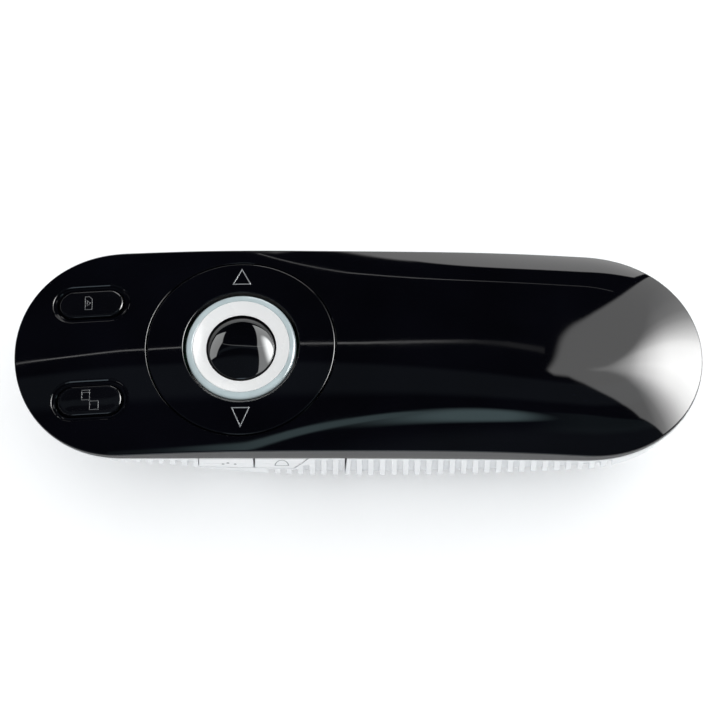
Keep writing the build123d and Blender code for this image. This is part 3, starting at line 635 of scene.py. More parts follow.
rr = crown_rings(b, lp0, ln_, rock_prof(), oval=1.04)
b.strip(rr[-1], rr[0])
rock = b.make("rocker_plate", M_BLACK)
extra = [rock]
for s in (-1, 1):
    x0, x1 = sorted((SX + s * 13.6, SX + s * 15.6))
    extra.append(bevel_box("l", x0, x1, -1.6, 1.6, 17.3, 19.8, 0.2, M_BLACK))
    pin = lathe("n", rounded([(0, 0), (0.7, 0), (0.7, 2.5), (0, 2.5)], 0.12), 0, 0, M_BLACK, n=32)
    pin.data.transform(Matrix.Translation(Vector((SX + (15.4 if s > 0 else -17.9), 0, 18.6)) * MM) @ Matrix.Rotation(math.radians(90), 4, "Y"))
    extra.append(pin)
    extra.append(lathe("q", rounded([(0, 17.65), (1.5, 17.65), (1.5, 19.8), (0, 19.8)], 0.2), SX, s * 13.3, M_BLACK, n=32))
rocker = join_parts("slide_rocker_plate", extra)
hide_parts("slide_rocker"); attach(rocker, "slide_rocker")


# icons that lie on the crown: thin engraved-and-filled outlines
def outline_mark(name, pts, width, mat, body, lift=0.012, closed=True, base=None, sink=0.05, sub=10):
    """A thin strip that follows the crown along a polyline with mitred corners."""
    P = [np.array(p, float) for p in pts]
    seg = []
    m = len(P)
    L, Rr = [], []
    for i in range(m):
        a, c = P[i - 1] if (closed or i > 0) else P[i], P[(i + 1) % m] if (closed or i < m - 1) else P[i]
        p = P[i]
        d0 = p - a; d1 = c - p
        if not closed and i == 0: d0 = d1
        if not closed and i == m - 1: d1 = d0
        d0 = d0 / max(np.linalg.norm(d0), 1e-9); d1 = d1 / max(np.linalg.norm(d1), 1e-9)
        n0 = np.array([-d0[1], d0[0]]); n1 = np.array([-d1[1], d1[0]])
        mt = n0 + n1; mt /= max(np.linalg.norm(mt), 1e-9)
        k = width / 2 / max(0.35, float(mt @ n1))
        L.append(p + mt * k); Rr.append(p - mt * k)
    rows = []
    rng = range(m) if closed else range(m - 1)
    for i in rng:
        j = (i + 1) % m
        for k in range(sub):
            t = k / sub
            rows.append((L[i] * (1 - t) + L[j] * t, Rr[i] * (1 - t) + Rr[j] * t))
    if not closed:
        rows.append((L[-1], Rr[-1]))
    b = Build()
    f = base or (lambda q: (np.column_stack([q, top_z(q[:, 0], q[:, 1])]), top_n(q[:, 0], q[:, 1])))
    la = np.array([r[0] for r in rows]); ra = np.array([r[1] for r in rows])
    pl, nl = f(la); pr, nr = f(ra)
    hl = (pl + nl * lift, pl - nl * sink, pr - nr * sink, pr + nr * lift)
    i0 = b.add(hl[0], nl); i1 = b.add(hl[1], -nl); i2 = b.add(hl[2], -nr); i3 = b.add(hl[3], nr)
    for p, q in ((i0, i1), (i1, i2), (i2, i3), (i3, i0)):
        b.strip(p, q, closed=closed)
    if not closed:
        b.f.append((int(i0[0]), int(i3[0]), int(i2[0]), int(i1[0]))); b.f.append((int(i0[-1]), int(i1[-1]), int(i2[-1]), int(i3[-1])))
    ob = b.make(name, mat, custom=False)
    bm = bmesh.new(); bm.from_mesh(ob.data); bmesh.ops.recalc_face_normals(bm, faces=bm.faces); bm.to_mesh(ob.data); bm.free()
    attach(ob, body)
    return ob


TRI_W, TRI_H = 3.0, 3.05
up = [(SX - TRI_W / 2, 12.15), (SX + TRI_W / 2, 12.15), (SX, 12.15 + TRI_H)]
dn = [(SX - TRI_W / 2, -11.6), (SX, -11.6 - TRI_H - 0.3), (SX + TRI_W / 2, -11.6)]
outline_mark("mark_up", up, 0.17, M_ICON, "slide_rocker")
outline_mark("mark_down", dn, 0.17, M_ICON, "slide_rocker")

# ---------------------------------------------------------------------------
# Small keys
# ---------------------------------------------------------------------------
for name, s in (("key_launch", 1), ("key_window", -1)):
    b = Build()
    lp, ln_ = pill_loop(KEY_X, s * KEY_Y, KEY_L, KEY_W, 120)
    zt = float(top_z(KEY_X, s * KEY_Y))
    r = 0.45
    prof = [(-0.2, 16.0, 0, -1, 1), (0.0, 16.15, 1, 0, 1), (0.0, zt - 1.4, 1, 0, 1)]
    for a in (0, 15, 30, 45, 60, 75, 90):
        t = math.radians(a)
        prof.append((-r + r * math.cos(t), -r + r * math.sin(t) - 0.02, math.cos(t), math.sin(t), 0))
    # shallow dish inside a raised edge
    for i in range(1, 11):
        q = i / 10.0
        o = -r - (KEY_W / 2 - r - 0.02) * q
        dz = -0.02 - 0.16 * (1 - (1 - q) ** 2) ** 1.2
        sl = (0.16 * 1.2 * (max(1 - (1 - q) ** 2, 1e-6)) ** 0.2 * 2 * (1 - q)) / (KEY_W / 2 - r)
        prof.append((o, dz, -sl, 1.0, 0))
    rr = crown_rings(b, lp, ln_, prof)
    # close the top along the spine and the bottom
    half = len(lp) // 2
    top_ring, bot_ring = rr[-1], rr[0]
    b.f.append(tuple(int(q) for q in top_ring))
    b.f.append(tuple(int(q) for q in reversed(bot_ring)))
    cap = b.make(name + "_c", M_KEY)
    fl = Build()
    lp2, ln2 = pill_loop(KEY_X, s * KEY_Y, KEY_L + 1.6, KEY_W + 1.6, 96)
    rr = crown_rings(fl, lp2, ln2, [(-0.1, 15.5, 0, -1, 1), (0, 15.6, 1, 0, 1), (0, 16.1, 1, 0, 1), (-0.1, 16.2, 0, 1, 1)])
    fl.f.append(tuple(int(q) for q in rr[-1])); fl.f.append(tuple(int(q) for q in reversed(rr[0])))
    flo = fl.make("f", M_KEY, custom=False)
    stem = bevel_box("s", KEY_X - 0.8, KEY_X + 2.2, s * 8.0 - 1.5, s * 8.0 + 1.5, 15.42, 15.8, 0.12, M_KEY)
    ob = join_parts(name + "_cap", [cap, flo, stem])
    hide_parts(name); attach(ob, name)

def key_face(q):
    """The dished face of a small key."""
    d = np.abs(np.abs(q[:, 1]) - KEY_Y)
    k = np.clip((2.2 - d) / 2.18, 0, 1)
    dz = -0.02 - 0.16 * (1 - (1 - k) ** 2) ** 1.2
    return np.column_stack([q, top_z(q[:, 0], q[:, 1]) + dz]), top_n(q[:, 0], q[:, 1])


def key_mark(name, pts, body, width=0.13, closed=True):
    return outline_mark(name, pts, width, M_ICON_KEY, body, lift=0.015, closed=closed, base=key_face, sub=4)


px, py = -47.2, 9.4
key_mark("mark_page", [(px - 0.6, py - 1.3), (px + 0.6, py - 1.3), (px + 0.6, py + 0.8), (px + 0.1, py + 1.3), (px - 0.6, py + 1.3)], "key_launch")
key_mark("mark_page_bar", [(px - 0.25, py - 0.5), (px - 0.25, py + 0.5), (px + 0.25, py), (px - 0.25, py - 0.5)][:3], "key_launch", 0.11)
wx, wy = -47.4, -8.3
key_mark("mark_window_a", [(wx - 0.68, wy - 0.85), (wx + 0.68, wy - 0.85), (wx + 0.68, wy + 0.85), (wx - 0.68, wy + 0.85)], "key_window")
key_mark("mark_window_bar", [(wx - 0.6, wy + 0.45), (wx + 0.6, wy + 0.45)], "key_window", 0.11, closed=False)
vx, vy = -45.95, -10.25
key_mark("mark_window_b", [(vx - 0.75, vy - 0.8), (vx + 0.75, vy - 0.8), (vx + 0.75, vy + 0.8), (vx - 0.75, vy + 0.8)], "key_window")
key_mark("mark_window_link", [(wx + 0.5, wy - 0.95), (wx + 0.85, wy - 1.12)], "key_window", 0.12, closed=False)

screws = []
for bx, by in BOSS:
    screws.append(lathe("scr", rounded([(0, 10.25), (0.75, 9.95), (0.8, 9.7), (1.45, 9.75), (1.62, 10.2), (1.62, 10.85), (0.95, 10.9), (0.95, 16.3), (0, 16.6)], 0.06), bx, by, M_ZINC, n=40))
scr = join_parts("case_screw_pair", screws)
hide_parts("case_screws"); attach(scr, "body")

# ---------------------------------------------------------------------------
# White ring, halo ring, dome
# ---------------------------------------------------------------------------
dish = [(6.12 + (8.42 - 6.12) * i / 16.0, 21.12 + 0.74 * (i / 16.0) ** 1.4) for i in range(17)]
prof = [(6.9, 19.6)] + dish + [(8.45, 21.83), (8.45, 20.74), (9.4, 20.74), (9.4, 12.9), (8.85, 12.9), (8.85, 19.6)]
ring = lathe("ring_bezel_white", prof[::-1], SX, SY, M_RING, n=200, sharp=50)
ring.data.transform(LEAN @ OVAL)
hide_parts("ring_bezel"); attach(ring, "body")
hp = [(8.49, 20.76), (9.6, 20.76), (9.62, 21.3), (9.57, 21.5), (9.44, 21.68), (9.22, 21.79), (8.95, 21.86), (8.7, 21.9), (8.56, 21.88), (8.49, 21.8)]
halo = lathe("halo_ring_band", hp, SX, SY, M_HALO, n=200, sharp=60)
halo.data.transform(LEAN @ OVAL)
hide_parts("halo_ring"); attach(halo, "body")

b = Build(); n = 192
t = np.linspace(0, 2 * np.pi, n, endpoint=False)
FR, FCR, FCZ = 2.0, 4.327, 19.706       # blend between the face and the skirt of the dome
A1, A2 = math.atan2(FCR, FCZ - CAP_C), math.atan2(FCR, FCZ - DOME_C)
rows = []
for i in range(1, 31):
    a = A1 * i / 30; rows.append((CAP_R * math.sin(a), CAP_C + CAP_R * math.cos(a), a, 1))
for i in range(1, 13):
    a = A1 + (A2 - A1) * i / 12; rows.append((FCR + FR * math.sin(a), FCZ + FR * math.cos(a), a, 1))
for i in range(1, 9):
    a = A2 + (math.radians(73) - A2) * i / 8; rows.append((DOME_R * math.sin(a), DOME_C + DOME_R * math.cos(a), a, 1))
for i in range(16, 0, -1):
    a = math.radians(73) * i / 16; rows.append((5.9 * math.sin(a), 17.2 + 5.3 * math.cos(a), a, -1))
rings = [b.add(np.stack([SX + r_ * np.cos(t), SY + r_ * np.sin(t), np.full(n, z_)], 1),
               sg * np.stack([math.sin(a) * np.cos(t), math.sin(a) * np.sin(t), np.full(n, math.cos(a))], 1)) for r_, z_, a, sg in rows]
pole = b.add([(SX, SY, CAP_C + CAP_R)], [(0, 0, 1)])[0]
pole2 = b.add([(SX, SY, 22.5)], [(0, 0, -1)])[0]
b.fan(rings[0], pole)
for r0, r1 in zip(rings[:-1], rings[1:]):
    b.strip(r1, r0)
b.fan(rings[-1], pole2, flip=True)
dome = b.make("dome_shell", M_DOME)
extra = [dome, lathe("b", rounded([(0, 19.1), (3.7, 19.1), (3.7, 22.0), (0, 22.8)], 0.2), SX, SY, M_DOME, n=48)]


def ear_y(yc, half, x0, x1, z0, z1, bore_z, r, mat):
    bb = Build(); n = 48
    t = np.linspace(0, 2 * np.pi, n, endpoint=False) + np.pi / n
    cs, sn = np.cos(t), np.sin(t)
    k = np.minimum(x1 / np.maximum(np.abs(cs), 1e-9), np.where(sn > 0, z1 - bore_z, bore_z - z0) / np.maximum(np.abs(sn), 1e-9))
    rings = []
    for y, ny in ((yc - half, -1), (yc + half, 1)):
        rings.append((bb.add(np.stack([SX + k * cs, np.full(n, y), bore_z + k * sn], 1), np.tile([0, ny, 0], (n, 1))),
                      bb.add(np.stack([SX + r * cs, np.full(n, y), bore_z + r * sn], 1), np.tile([0, ny, 0], (n, 1)))))
    (a, c), (d, e) = rings
    bb.strip(c, a); bb.strip(d, e); bb.strip(a, d); bb.strip(e, c)
    return bb.make("ear", mat, custom=False)


for s in (-1, 1):
    extra.append(ear_y(s * 2.85, 0.55, -1.2, 1.2, 16.1, 19.4, DOME_C, 0.66, M_DOME))
dome = join_parts("stick_dome", extra)
dome.data.transform(LEAN)
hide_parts("stick_cap"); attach(dome, "stick_cap")


# ---------------------------------------------------------------------------
# Lower shells with their ribs as real geometry
# ---------------------------------------------------------------------------
def rib_mask(x, side):
    """Lowest z at which the side stays smooth: ribs run below this height. None: no rib."""
    top = float(zpart(x)) - 0.35
    if x > 44.5 or x < -48.0:
        return None
    if side < 0 and -28.6 < x < -8.0:
        return (12.3 if x < -10 else 14.4) if x > -15.6 else None
    if side > 0 and abs(x - RX_X) < 9.2:
        return None
    return top


def columns(x_from, x_to):
    """x positions of the mesh columns with the groove depth share and arch drop at each."""
    cent = []
    x = RIB_F0
    while x > -48: cent.append(x); x -= RIB_PITCH
    x = RIB_X0
    while x < 44.5: cent.append(x); x += RIB_PITCH
    cent = sorted(c for c in cent if x_from + 0.6 < c < x_to - 0.3)
    cols = []
    h = RIB_GROOVE / 2
    for c in cent:
        cols += [(c - h - 0.035, 0.0, c), (c - h + 0.01, 0.14, c), (c - h + 0.06, 1.0, c)]
        cols += [(c + d, 1.0, c) for d in (-0.36, -0.18, 0.0, 0.18, 0.36)]
        cols += [(c + h - 0.06, 1.0, c), (c + h - 0.01, 0.14, c), (c + h + 0.035, 0.0, c)]
    extra = [x_from]
    if cent[-1] + h > x_to - 0.02:
        # the last groove runs out through the split face
        cols = [q for q in cols if q[0] < x_to - 0.03] + [(x_to, 1.0, cent[-1])]
    else:
        extra.append(x_to)
    lo, hi = (min(q[0] for q in cols), max(q[0] for q in cols))
    def end_fill(a, e):
        # cosine spacing towards a body end
        k = 46
        return [a + (e - a) * math.sin(math.pi / 2 * i / k) for i in range(1, k + 1)]
    if x_to > 50:
        extra += end_fill(hi, x_to)
    else:
        extra += list(np.arange(hi + 0.5, x_to - 0.2, 0.6))
    if x_from < -50:
        extra += [lo + (x_from - lo) * math.sin(math.pi / 2 * i / 46) for i in range(1, 46)]
    else:
        extra += list(np.arange(lo - 0.5, x_from + 0.2, -0.6))
    # between grooves
    for a, c in zip(cent[:-1], cent[1:]):
        g0, g1 = a + h + 0.035, c - h - 0.035
        if g1 - g0 > 0.05:
            k = max(2, int((g1 - g0) / 0.45))
            extra += [g0 + (g1 - g0) * i / k for i in range(1, k)]
    cols += [(x, 0.0, None) for x in extra]
    cols.sort(key=lambda q: q[0])
    out = [cols[0]]
    for q in cols[1:]:
        if q[0] - out[-1][0] > 1e-4:
            out.append(q)
    return out


N_UP, N_G, N_LOW = 8, 26, 12


def section_rows(x, side, share, cen, ins=0.0, floor=0.0, gap=0.05, grooves=True):
    """Points from the rim down to the keel for one column, with rib depth applied."""
    zp = float(zpart(x)); U = float(uend(x, ins)); D = DEPTH - floor
    c = KEEL_C * float(rise(x)); mm = BOX_MID + (BOX_END - BOX_MID) * float(rise(x))
    K = math.sqrt(1 + EPS * EPS) - EPS
    rmin = (math.sqrt(U ** END_N + EPS ** 2) - EPS) / K
    hmin = min(1.0, c + (1 - c) * rmin)
    psi_max = math.acos(min(1.0, hmin ** (mm / 2)))
    def psi_of(drop):
        s = min(max(drop / D, 0), 0.999)
        return min(math.asin(min(1.0, s ** (mm / 2))), psi_max)
    zt = rib_mask(x if cen is None else cen, side) if grooves else None
    top = zt if zt is not None else zp - 0.9
    if cen is not None and zt is not None:
        d = min(abs(x - cen), RIB_GROOVE / 2)
        top = top - (RIB_GROOVE / 2 - math.sqrt(max((RIB_GROOVE / 2) ** 2 - d * d, 0)))
    drops_up = [gap + 0.0 + (zp - top - gap) * (i / (N_UP - 1.0)) ** 1.0 for i in range(N_UP)]
    psis = [psi_of(q) for q in drops_up]
    p_a = psi_of(zp - top + 0.05)
    p_b = max(psi_of(zp - 1.25), p_a)
    p_c = max(psi_of(zp - 1.0), p_b)
    body = [p_a + (p_b - p_a) * i / (N_G - 1.0) for i in range(N_G)]
    low = [p_c + (psi_max - p_c) * (i / (N_LOW - 1.0)) for i in range(N_LOW)]
    depth = [0.0] * N_UP + [share] * N_G + [0.0] * N_LOW
    psis = psis + body + low
    pts, nrm = [], []
    def at(psi):
        h = max(math.cos(psi), 0.0) ** (2 / mm); s = math.sin(psi) ** (2 / mm)
        r = (h - c) / (1 - c)
        g = (r * K + EPS) ** 2 - EPS ** 2 - U ** END_N
        return float(half_w(x, ins)) * math.sqrt(max(g, 0.0)), zp - D * s
    for psi, dp in zip(psis, depth):
        y, z = at(psi)
        e = 2e-3
        y0, z0 = at(max(psi - e, 0.0)); y1, z1 = at(min(psi + e, psi_max))
        ty, tz = y1 - y0, z1 - z0
        L = math.hypot(ty, tz)
        ny, nz = (-tz / L, ty / L) if L > 1e-9 else (1.0, 0.0)
        if ny < 0: ny, nz = -ny, -nz
        if zt is None or not grooves: dp = 0.0
        y, z = y - ny * RIB_DEPTH * dp, z - nz * RIB_DEPTH * dp
        pts.append((x, side * max(y, 0.0), z))
        nrm.append((0.0, side * ny, nz))
    return pts, nrm


def shell(name, x_from, x_to, gap, mat, belly=0.0):
    cols = columns(x_from, x_to)
    b = Build()
    rows = N_UP + N_G + N_LOW
    def grid(ins, floor, grooves, zfloor):
        out = []
        for x, share, cen in cols:
            xi = x
            if ins:
                lim = 30.0
                for sgn in (1, -1):
                    if sgn * x > lim:
                        xi = sgn * (lim + (sgn * x - lim) * (HALF_L - ins - lim) / (HALF_L - lim))
            near, nn = section_rows(xi, -1, share, cen, ins, floor, gap, grooves)
            far, fn = section_rows(xi, 1, share, cen, ins, floor, gap, grooves)
            line = near + far[::-1][1:]
            nl = nn + fn[::-1][1:]
            line = [(p[0], p[1], max(p[2], zfloor)) for p in line]
            line[rows - 1] = (line[rows - 1][0], 0.0, line[rows - 1][2])
            out.append(b.add(line, nl))
        return out
    go = grid(0.0, 0.0, True, 0.0)
    gi = grid(WALL, FLOOR, False, FLOOR)
    for a, c in zip(go[:-1], go[1:]):
        b.strip(a, c, closed=False, flip=False)
    for a, c in zip(gi[:-1], gi[1:]):
        b.strip(a, c, closed=False, flip=True)
    # rims
    near_o, near_i = [g[0] for g in go], [g[0] for g in gi]
    far_o, far_i = [g[-1] for g in go], [g[-1] for g in gi]
    b.strip(near_o, near_i, closed=False, flip=True)
    b.strip(far_o, far_i, closed=False)
    # split face
    if x_to < 50:
        b.strip(go[-1], gi[-1], closed=False)
    else:
        b.strip(go[0], gi[0], closed=False, flip=True)
    # the split leans a little
    xe = x_to if x_to < 50 else x_from
    for v in b.v:
        w = np.clip(1 - np.abs(v[:, 0] - xe) / 1.2, 0, 1)
        v[:, 0] += SPLIT_LEAN * (v[:, 2] - 14.0) * w
    ob = b.make(name, mat, custom=False)
    bm = bmesh.new(); bm.from_mesh(ob.data)
    bmesh.ops.remove_doubles(bm, verts=bm.verts, dist=2e-6)
    bmesh.ops.dissolve_degenerate(bm, edges=bm.edges, dist=1e-7)
    bmesh.ops.recalc_face_normals(bm, faces=bm.faces)
    opened = sum(1 for e in bm.edges if not e.is_manifold)
    print(name, "faces", len(bm.faces), "open edges", opened)
    bm.to_mesh(ob.data); bm.free()
    return ob


def cut(ob, cutters):
    """Exact boolean cut by helper solids, which are then removed."""
    for c in cutters:
        md = ob.modifiers.new("cut", "BOOLEAN"); md.operation = "DIFFERENCE"; md.solver = "EXACT"; md.object = c
        bpy.context.view_layer.objects.active = ob
        bpy.ops.object.modifier_apply(modifier=md.name)
        bpy.data.objects.remove(c)
    return ob


def soften(ob, angle=32):
    me = ob.data
    me.polygons.foreach_set("use_smooth", [True] * len(me.polygons))
    me.set_sharp_from_angle(angle=math.radians(angle))


def rounded_loop(corners, r_corner, step=0.4):
    """A polygon in (x, z) with rounded corners, as dense points; a radius per corner."""
    P = [Vector(p) for p in corners]; m = len(P); loop = []
    for i in range(m):
        a, p, c = P[i - 1], P[i], P[(i + 1) % m]
        rc = r_corner[i] if isinstance(r_corner, (list, tuple)) else r_corner
        u = (a - p).normalized(); w = (c - p).normalized()
        half = u.angle(w) / 2; t = rc / math.tan(half)
        cc = p + (u + w).normalized() * (rc / math.sin(half))
        s0 = p + u * t - cc; ang = math.pi - 2 * half
        for k in range(9):
            loop.append(cc + Matrix.Rotation(ang * k / 8, 2) @ s0)
    dense = []
    for i in range(len(loop)):
        a, c = loop[i], loop[(i + 1) % len(loop)]
        k = max(1, int((c - a).length / step))
        dense += [a + (c - a) * (j / k) for j in range(k)]
    return np.array([(q.x, q.y) for q in dense])


def prism_y(name, corners, r_corner, y0, y1):
    L = rounded_loop(corners, r_corner, 50.0)
    bm = bmesh.new()
    lo = [bm.verts.new((x * MM, y0 * MM, z * MM)) for x, z in L]
    hi = [bm.verts.new((x * MM, y1 * MM, z * MM)) for x, z in L]
    m = len(L)
    bm.faces.new(lo); bm.faces.new(hi[::-1])
    for i in range(m):
        bm.faces.new((lo[i], hi[i], hi[(i + 1) % m], lo[(i + 1) % m]))
    bmesh.ops.recalc_face_normals(bm, faces=bm.faces)
    me = bpy.data.meshes.new(name); bm.to_mesh(me); bm.free()
    ob = bpy.data.objects.new(name, me); bpy.context.scene.collection.objects.link(ob)
    return ob


lower = shell("lower_case_shell", -HALF_L, SPLIT_X - 0.18, 0.05, M_WHITE)
KEY_A, KEY_B = SK["side_key_laser"][0] - 0.13, SK["side_key_dome"][1] + 0.68
cutters = [prism_y("c", [(KEY_A, SK_Z0 - 0.13), (KEY_B - 2.9, SK_Z0 - 0.13), (KEY_B, 18.0), (KEY_A, 18.0)], [0.5, 0.5, 0.1, 0.1], -25, -13)]
cutters.append(bevel_box("c", RX_X - 7.95, RX_X + 7.95, 10, 25, RX_Z - 3.15, RX_Z + 3.15, 0.5))
c = lathe("c", [(0, -75), (1.75, -75), (1.75, -52), (0, -52)], 0, 0, n=48)
c.data.transform(Matrix.Translation(Vector((0, 0, LASER_Z)) * MM) @ Matrix.Rotation(math.radians(90), 4, "Y"))
cutters.append(c)
for bx, by in BOSS:
    cutters.append(lathe("c", [(0, 2), (2.1, 2), (2.1, 8.2), (0, 8.2)], bx, by, n=48))
cut(lower, cutters)
soften(lower)
extra = [lower]
for bx, by in BOSS:
    # screw boss: a tube that closes the counterbore and carries the board
    boss = lathe("p", rounded([(1.8, 9.2), (2.6, 9.2), (2.6, 10.97), (1.8, 10.97)], 0.1), bx, by, M_WHITE, n=48)
    for v_ in boss.data.vertices:          # the boss merges into the wall
        lim = float(hull_y(v_.co.x / MM, v_.co.z / MM)) - 0.7
        if abs(v_.co.y / MM) > lim:
            v_.co.y = math.copysign(lim, v_.co.y) * MM
    extra.append(boss)
lower = join_parts("lower_case_shell", extra)
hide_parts("lower_case"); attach(lower, "body")

rear = shell("rear_cover_shell", SPLIT_X + 0.18, HALF_L, 0.15, M_WHITE)
soften(rear)
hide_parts("rear_cover"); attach(rear, "rear_cover")


# ---------------------------------------------------------------------------
# Side keys and the receiver's outer end: patches of the same hull
# ---------------------------------------------------------------------------
def hull_patch(name, corners, side, r_corner, thick, mat, edge=0.3, proud=0.0):
    """A panel of the hull inside a rounded polygon in (x, z), with rounded edges."""
    L = rounded_loop(corners, r_corner)
    t = np.roll(L, -1, 0) - np.roll(L, 1, 0)
    nr = unit(np.stack([t[:, 1], -t[:, 0]], 1))
    b = Build()
    def base(q, h):
        y = hull_y(q[:, 0], q[:, 1]); e = 0.02
        dyx = (hull_y(q[:, 0] + e, q[:, 1]) - hull_y(q[:, 0] - e, q[:, 1])) / (2 * e)
        dyz = (hull_y(q[:, 0], q[:, 1] + e) - hull_y(q[:, 0], q[:, 1] - e)) / (2 * e)
        nn = unit(np.stack([-dyx, np.ones_like(y), -dyz], 1)) * np.array([1, side, 1])
        pt = np.stack([q[:, 0], side * y, q[:, 1]], 1) + nn * h
        return pt, nn
    rings = []
    def ring(o, h, no, nh):
        q = L + nr * o
        p, nn = base(q, h)
        hor = np.stack([nr[:, 0], np.zeros(len(L)), nr[:, 1]], 1)
        rings.append(b.add(p, unit(hor * no + nn * nh)))
    ring(0.0, -thick, 1, 0)
    ring(0.0, -edge + proud, 1, 0)
    for a in (15, 30, 45, 60, 75, 90):
        t_ = math.radians(a)
        ring(-edge + edge * math.cos(t_), -edge + edge * math.sin(t_) + proud, math.cos(t_), math.sin(t_))
    inner_o = edge
    # spiral the rings in towards the middle line
    zc = L[:, 1].mean()
    last = L - nr * edge
    for k in range(1, 9):
        f = k / 8.0
        q = last.copy()
        q[:, 1] = last[:, 1] * (1 - f) + zc * f
        q[:, 0] = last[:, 0] * (1 - 0.12 * f) + L[:, 0].mean() * 0.12 * f
        p, nn = base(q, proud)
        rings.append(b.add(p, nn))
    for r0, r1 in zip(rings[:-1], rings[1:]):
        b.strip(r0, r1)
    # close the slit left at the middle line and the back
    b.f.append(tuple(int(q) for q in rings[-1]))
    b.f.append(tuple(int(q) for q in reversed(rings[0])))
    ob = b.make(name, mat)
    bm = bmesh.new(); bm.from_mesh(ob.data)
    bmesh.ops.remove_doubles(bm, verts=bm.verts, dist=1e-6)
    bmesh.ops.recalc_face_normals(bm, faces=bm.faces); bm.to_mesh(ob.data); bm.free()
    soften(ob, 30)
    return ob


for name, (a, c) in SK.items():
    if name == "side_key_dome":
        cor, rc = [(a, SK_Z0), (c - SK_SLANT, SK_Z0), (c, SK_Z1), (a, SK_Z1)], [0.2, 0.45, 0.3, 0.2]
    else:
        cor, rc = [(a, SK_Z0), (c, SK_Z0), (c, SK_Z1), (a, SK_Z1)], [0.45, 0.2, 0.2, 0.3]
    key = hull_patch(name + "_panel", cor, -1, rc, 1.6, M_WHITE_KEY, edge=0.22)
    fa = a - 0.5 if a < -20 else a + 0.05
    fc = c + 1.1 if c > -15 else c - 0.05
    fl = bevel_box("f", fa, fc, -16.75, -16.05, 12.25, 16.6, 0.15, M_WHITE_KEY)
    st = bevel_box("g", a + 0.5, c - 0.5 - (SK_SLANT if c > -15 else 0), -18.2, -16.3, SK_Z0 + 0.4, SK_Z1 - 0.4, 0.1, M_WHITE_KEY)
    key = join_parts(name + "_panel", [key, fl, st])
    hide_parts(name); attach(key, name)


def side_base(q):
    y = hull_y(q[:, 0], q[:, 1]); e = 0.02
    dyx = (hull_y(q[:, 0] + e, q[:, 1]) - hull_y(q[:, 0] - e, q[:, 1])) / (2 * e)
    dyz = (hull_y(q[:, 0], q[:, 1] + e) - hull_y(q[:, 0], q[:, 1] - e)) / (2 * e)
    nn = unit(np.stack([-dyx, -np.ones_like(y), -dyz], 1))
    return np.stack([q[:, 0], -y, q[:, 1]], 1), nn


def side_dot(name, x, z, r, body):
    b = Build(); n = 24
    t = np.linspace(0, 2 * np.pi, n, endpoint=False)
    rings = []
    for rr_, h in ((r, -0.08), (r, 0.005), (r * 0.85, 0.03), (r * 0.55, 0.042), (r * 0.25, 0.048)):
        q = np.stack([x + rr_ * np.cos(t), z + rr_ * np.sin(t)], 1)
        p, nn = side_base(q)
        rings.append(b.add(p + nn * h, nn))
    for r0, r1 in zip(rings[:-1], rings[1:]):
        b.strip(r0, r1)
    b.f.append(tuple(int(q) for q in rings[-1])); b.f.append(tuple(int(q) for q in reversed(rings[0])))
    ob = b.make(name, M_DOT, custom=False)
    bm = bmesh.new(); bm.from_mesh(ob.data); bmesh.ops.recalc_face_normals(bm, faces=bm.faces); bm.to_mesh(ob.data); bm.free()
    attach(ob, body)
    return ob


for i, (x, z) in enumerate(((-23.4, 14.75), (-22.55, 15.3), (-21.3, 14.75))):
    side_dot(f"side_dot_{i + 1}", x, z, 0.27, "side_key_laser")
arc_pts = [(-13.2 + 1.16 * math.cos(math.radians(a)), 14.2 + 2.4 * math.sin(math.radians(a))) for a in range(0, 181, 12)]
outline_mark("side_dome_icon", arc_pts, 0.2, M_DOT, "side_key_dome", closed=True, base=side_base, sub=2)

# receiver
b = None
rx = hull_patch("rx", [(RX_X - 7.8, RX_Z - 3.0), (RX_X + 7.8, RX_Z - 3.0), (RX_X + 7.8, RX_Z + 3.0), (RX_X - 7.8, RX_Z + 3.0)], 1, 0.6, 1.6, M_WHITE, edge=0.35)
rb = bevel_box("rb", RX_X - 7.66, RX_X + 7.66, 8.3, 14.6, RX_Z - 2.86, RX_Z + 2.86, 0.3, M_WHITE)
rsk = bevel_box("rs", RX_X - 7.75, RX_X + 7.75, 6.2, 15.0, RX_Z - 2.95, RX_Z - 2.32, 0.15, M_WHITE)
rsk2 = bevel_box("rs", RX_X - 7.75, RX_X + 7.75, 6.2, 15.0, RX_Z + 2.32, RX_Z + 2.95, 0.15, M_WHITE)
rsl = bevel_box("rs", RX_X - 7.75, RX_X - 6.07, 6.2, 15.0, RX_Z - 2.9, RX_Z + 2.9, 0.15, M_WHITE)
rsr = bevel_box("rs", RX_X + 6.07, RX_X + 7.75, 6.2, 15.0, RX_Z - 2.9, RX_Z + 2.9, 0.15, M_WHITE)
rx = join_parts("receiver_body", [rx, rb, rsk, rsk2, rsl, rsr])
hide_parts("receiver_shell"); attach(rx, "receiver")

# ---------------------------------------------------------------------------
# Stage, light, camera
# ---------------------------------------------------------------------------
def stage_plane(name, x0, x1, y0, y1, z, mat):
    me = bpy.data.meshes.new(name)
    me.from_pydata([(x0, y0, z), (x1, y0, z), (x1, y1, z), (x0, y1, z)], [], [(0, 1, 2, 3)])
    ob = bpy.data.objects.new(name, me); bpy.context.scene.collection.objects.link(ob)
    me.materials.append(mat)
    return ob


M_FLOOR = material("floor_white", (0.90, 0.905, 0.91), 0.6, spec=0.15, var=0.01, var_scale=6)
for nd_ in M_FLOOR.node_tree.nodes:
    if nd_.type == "BSDF_PRINCIPLED":
        nd_.inputs["Emission Color"].default_value = (1, 1, 1, 1); nd_.inputs["Emission Strength"].default_value = 0.10
stage_plane("floor", -6, 6, -6, 6, -0.00002, M_FLOOR)

world = bpy.data.worlds.new("studio"); bpy.context.scene.world = world
world.use_nodes = True
wt = world.node_tree; wn, wl = wt.nodes, wt.links
bg = wn["Background"]; wout = wn["World Output"]


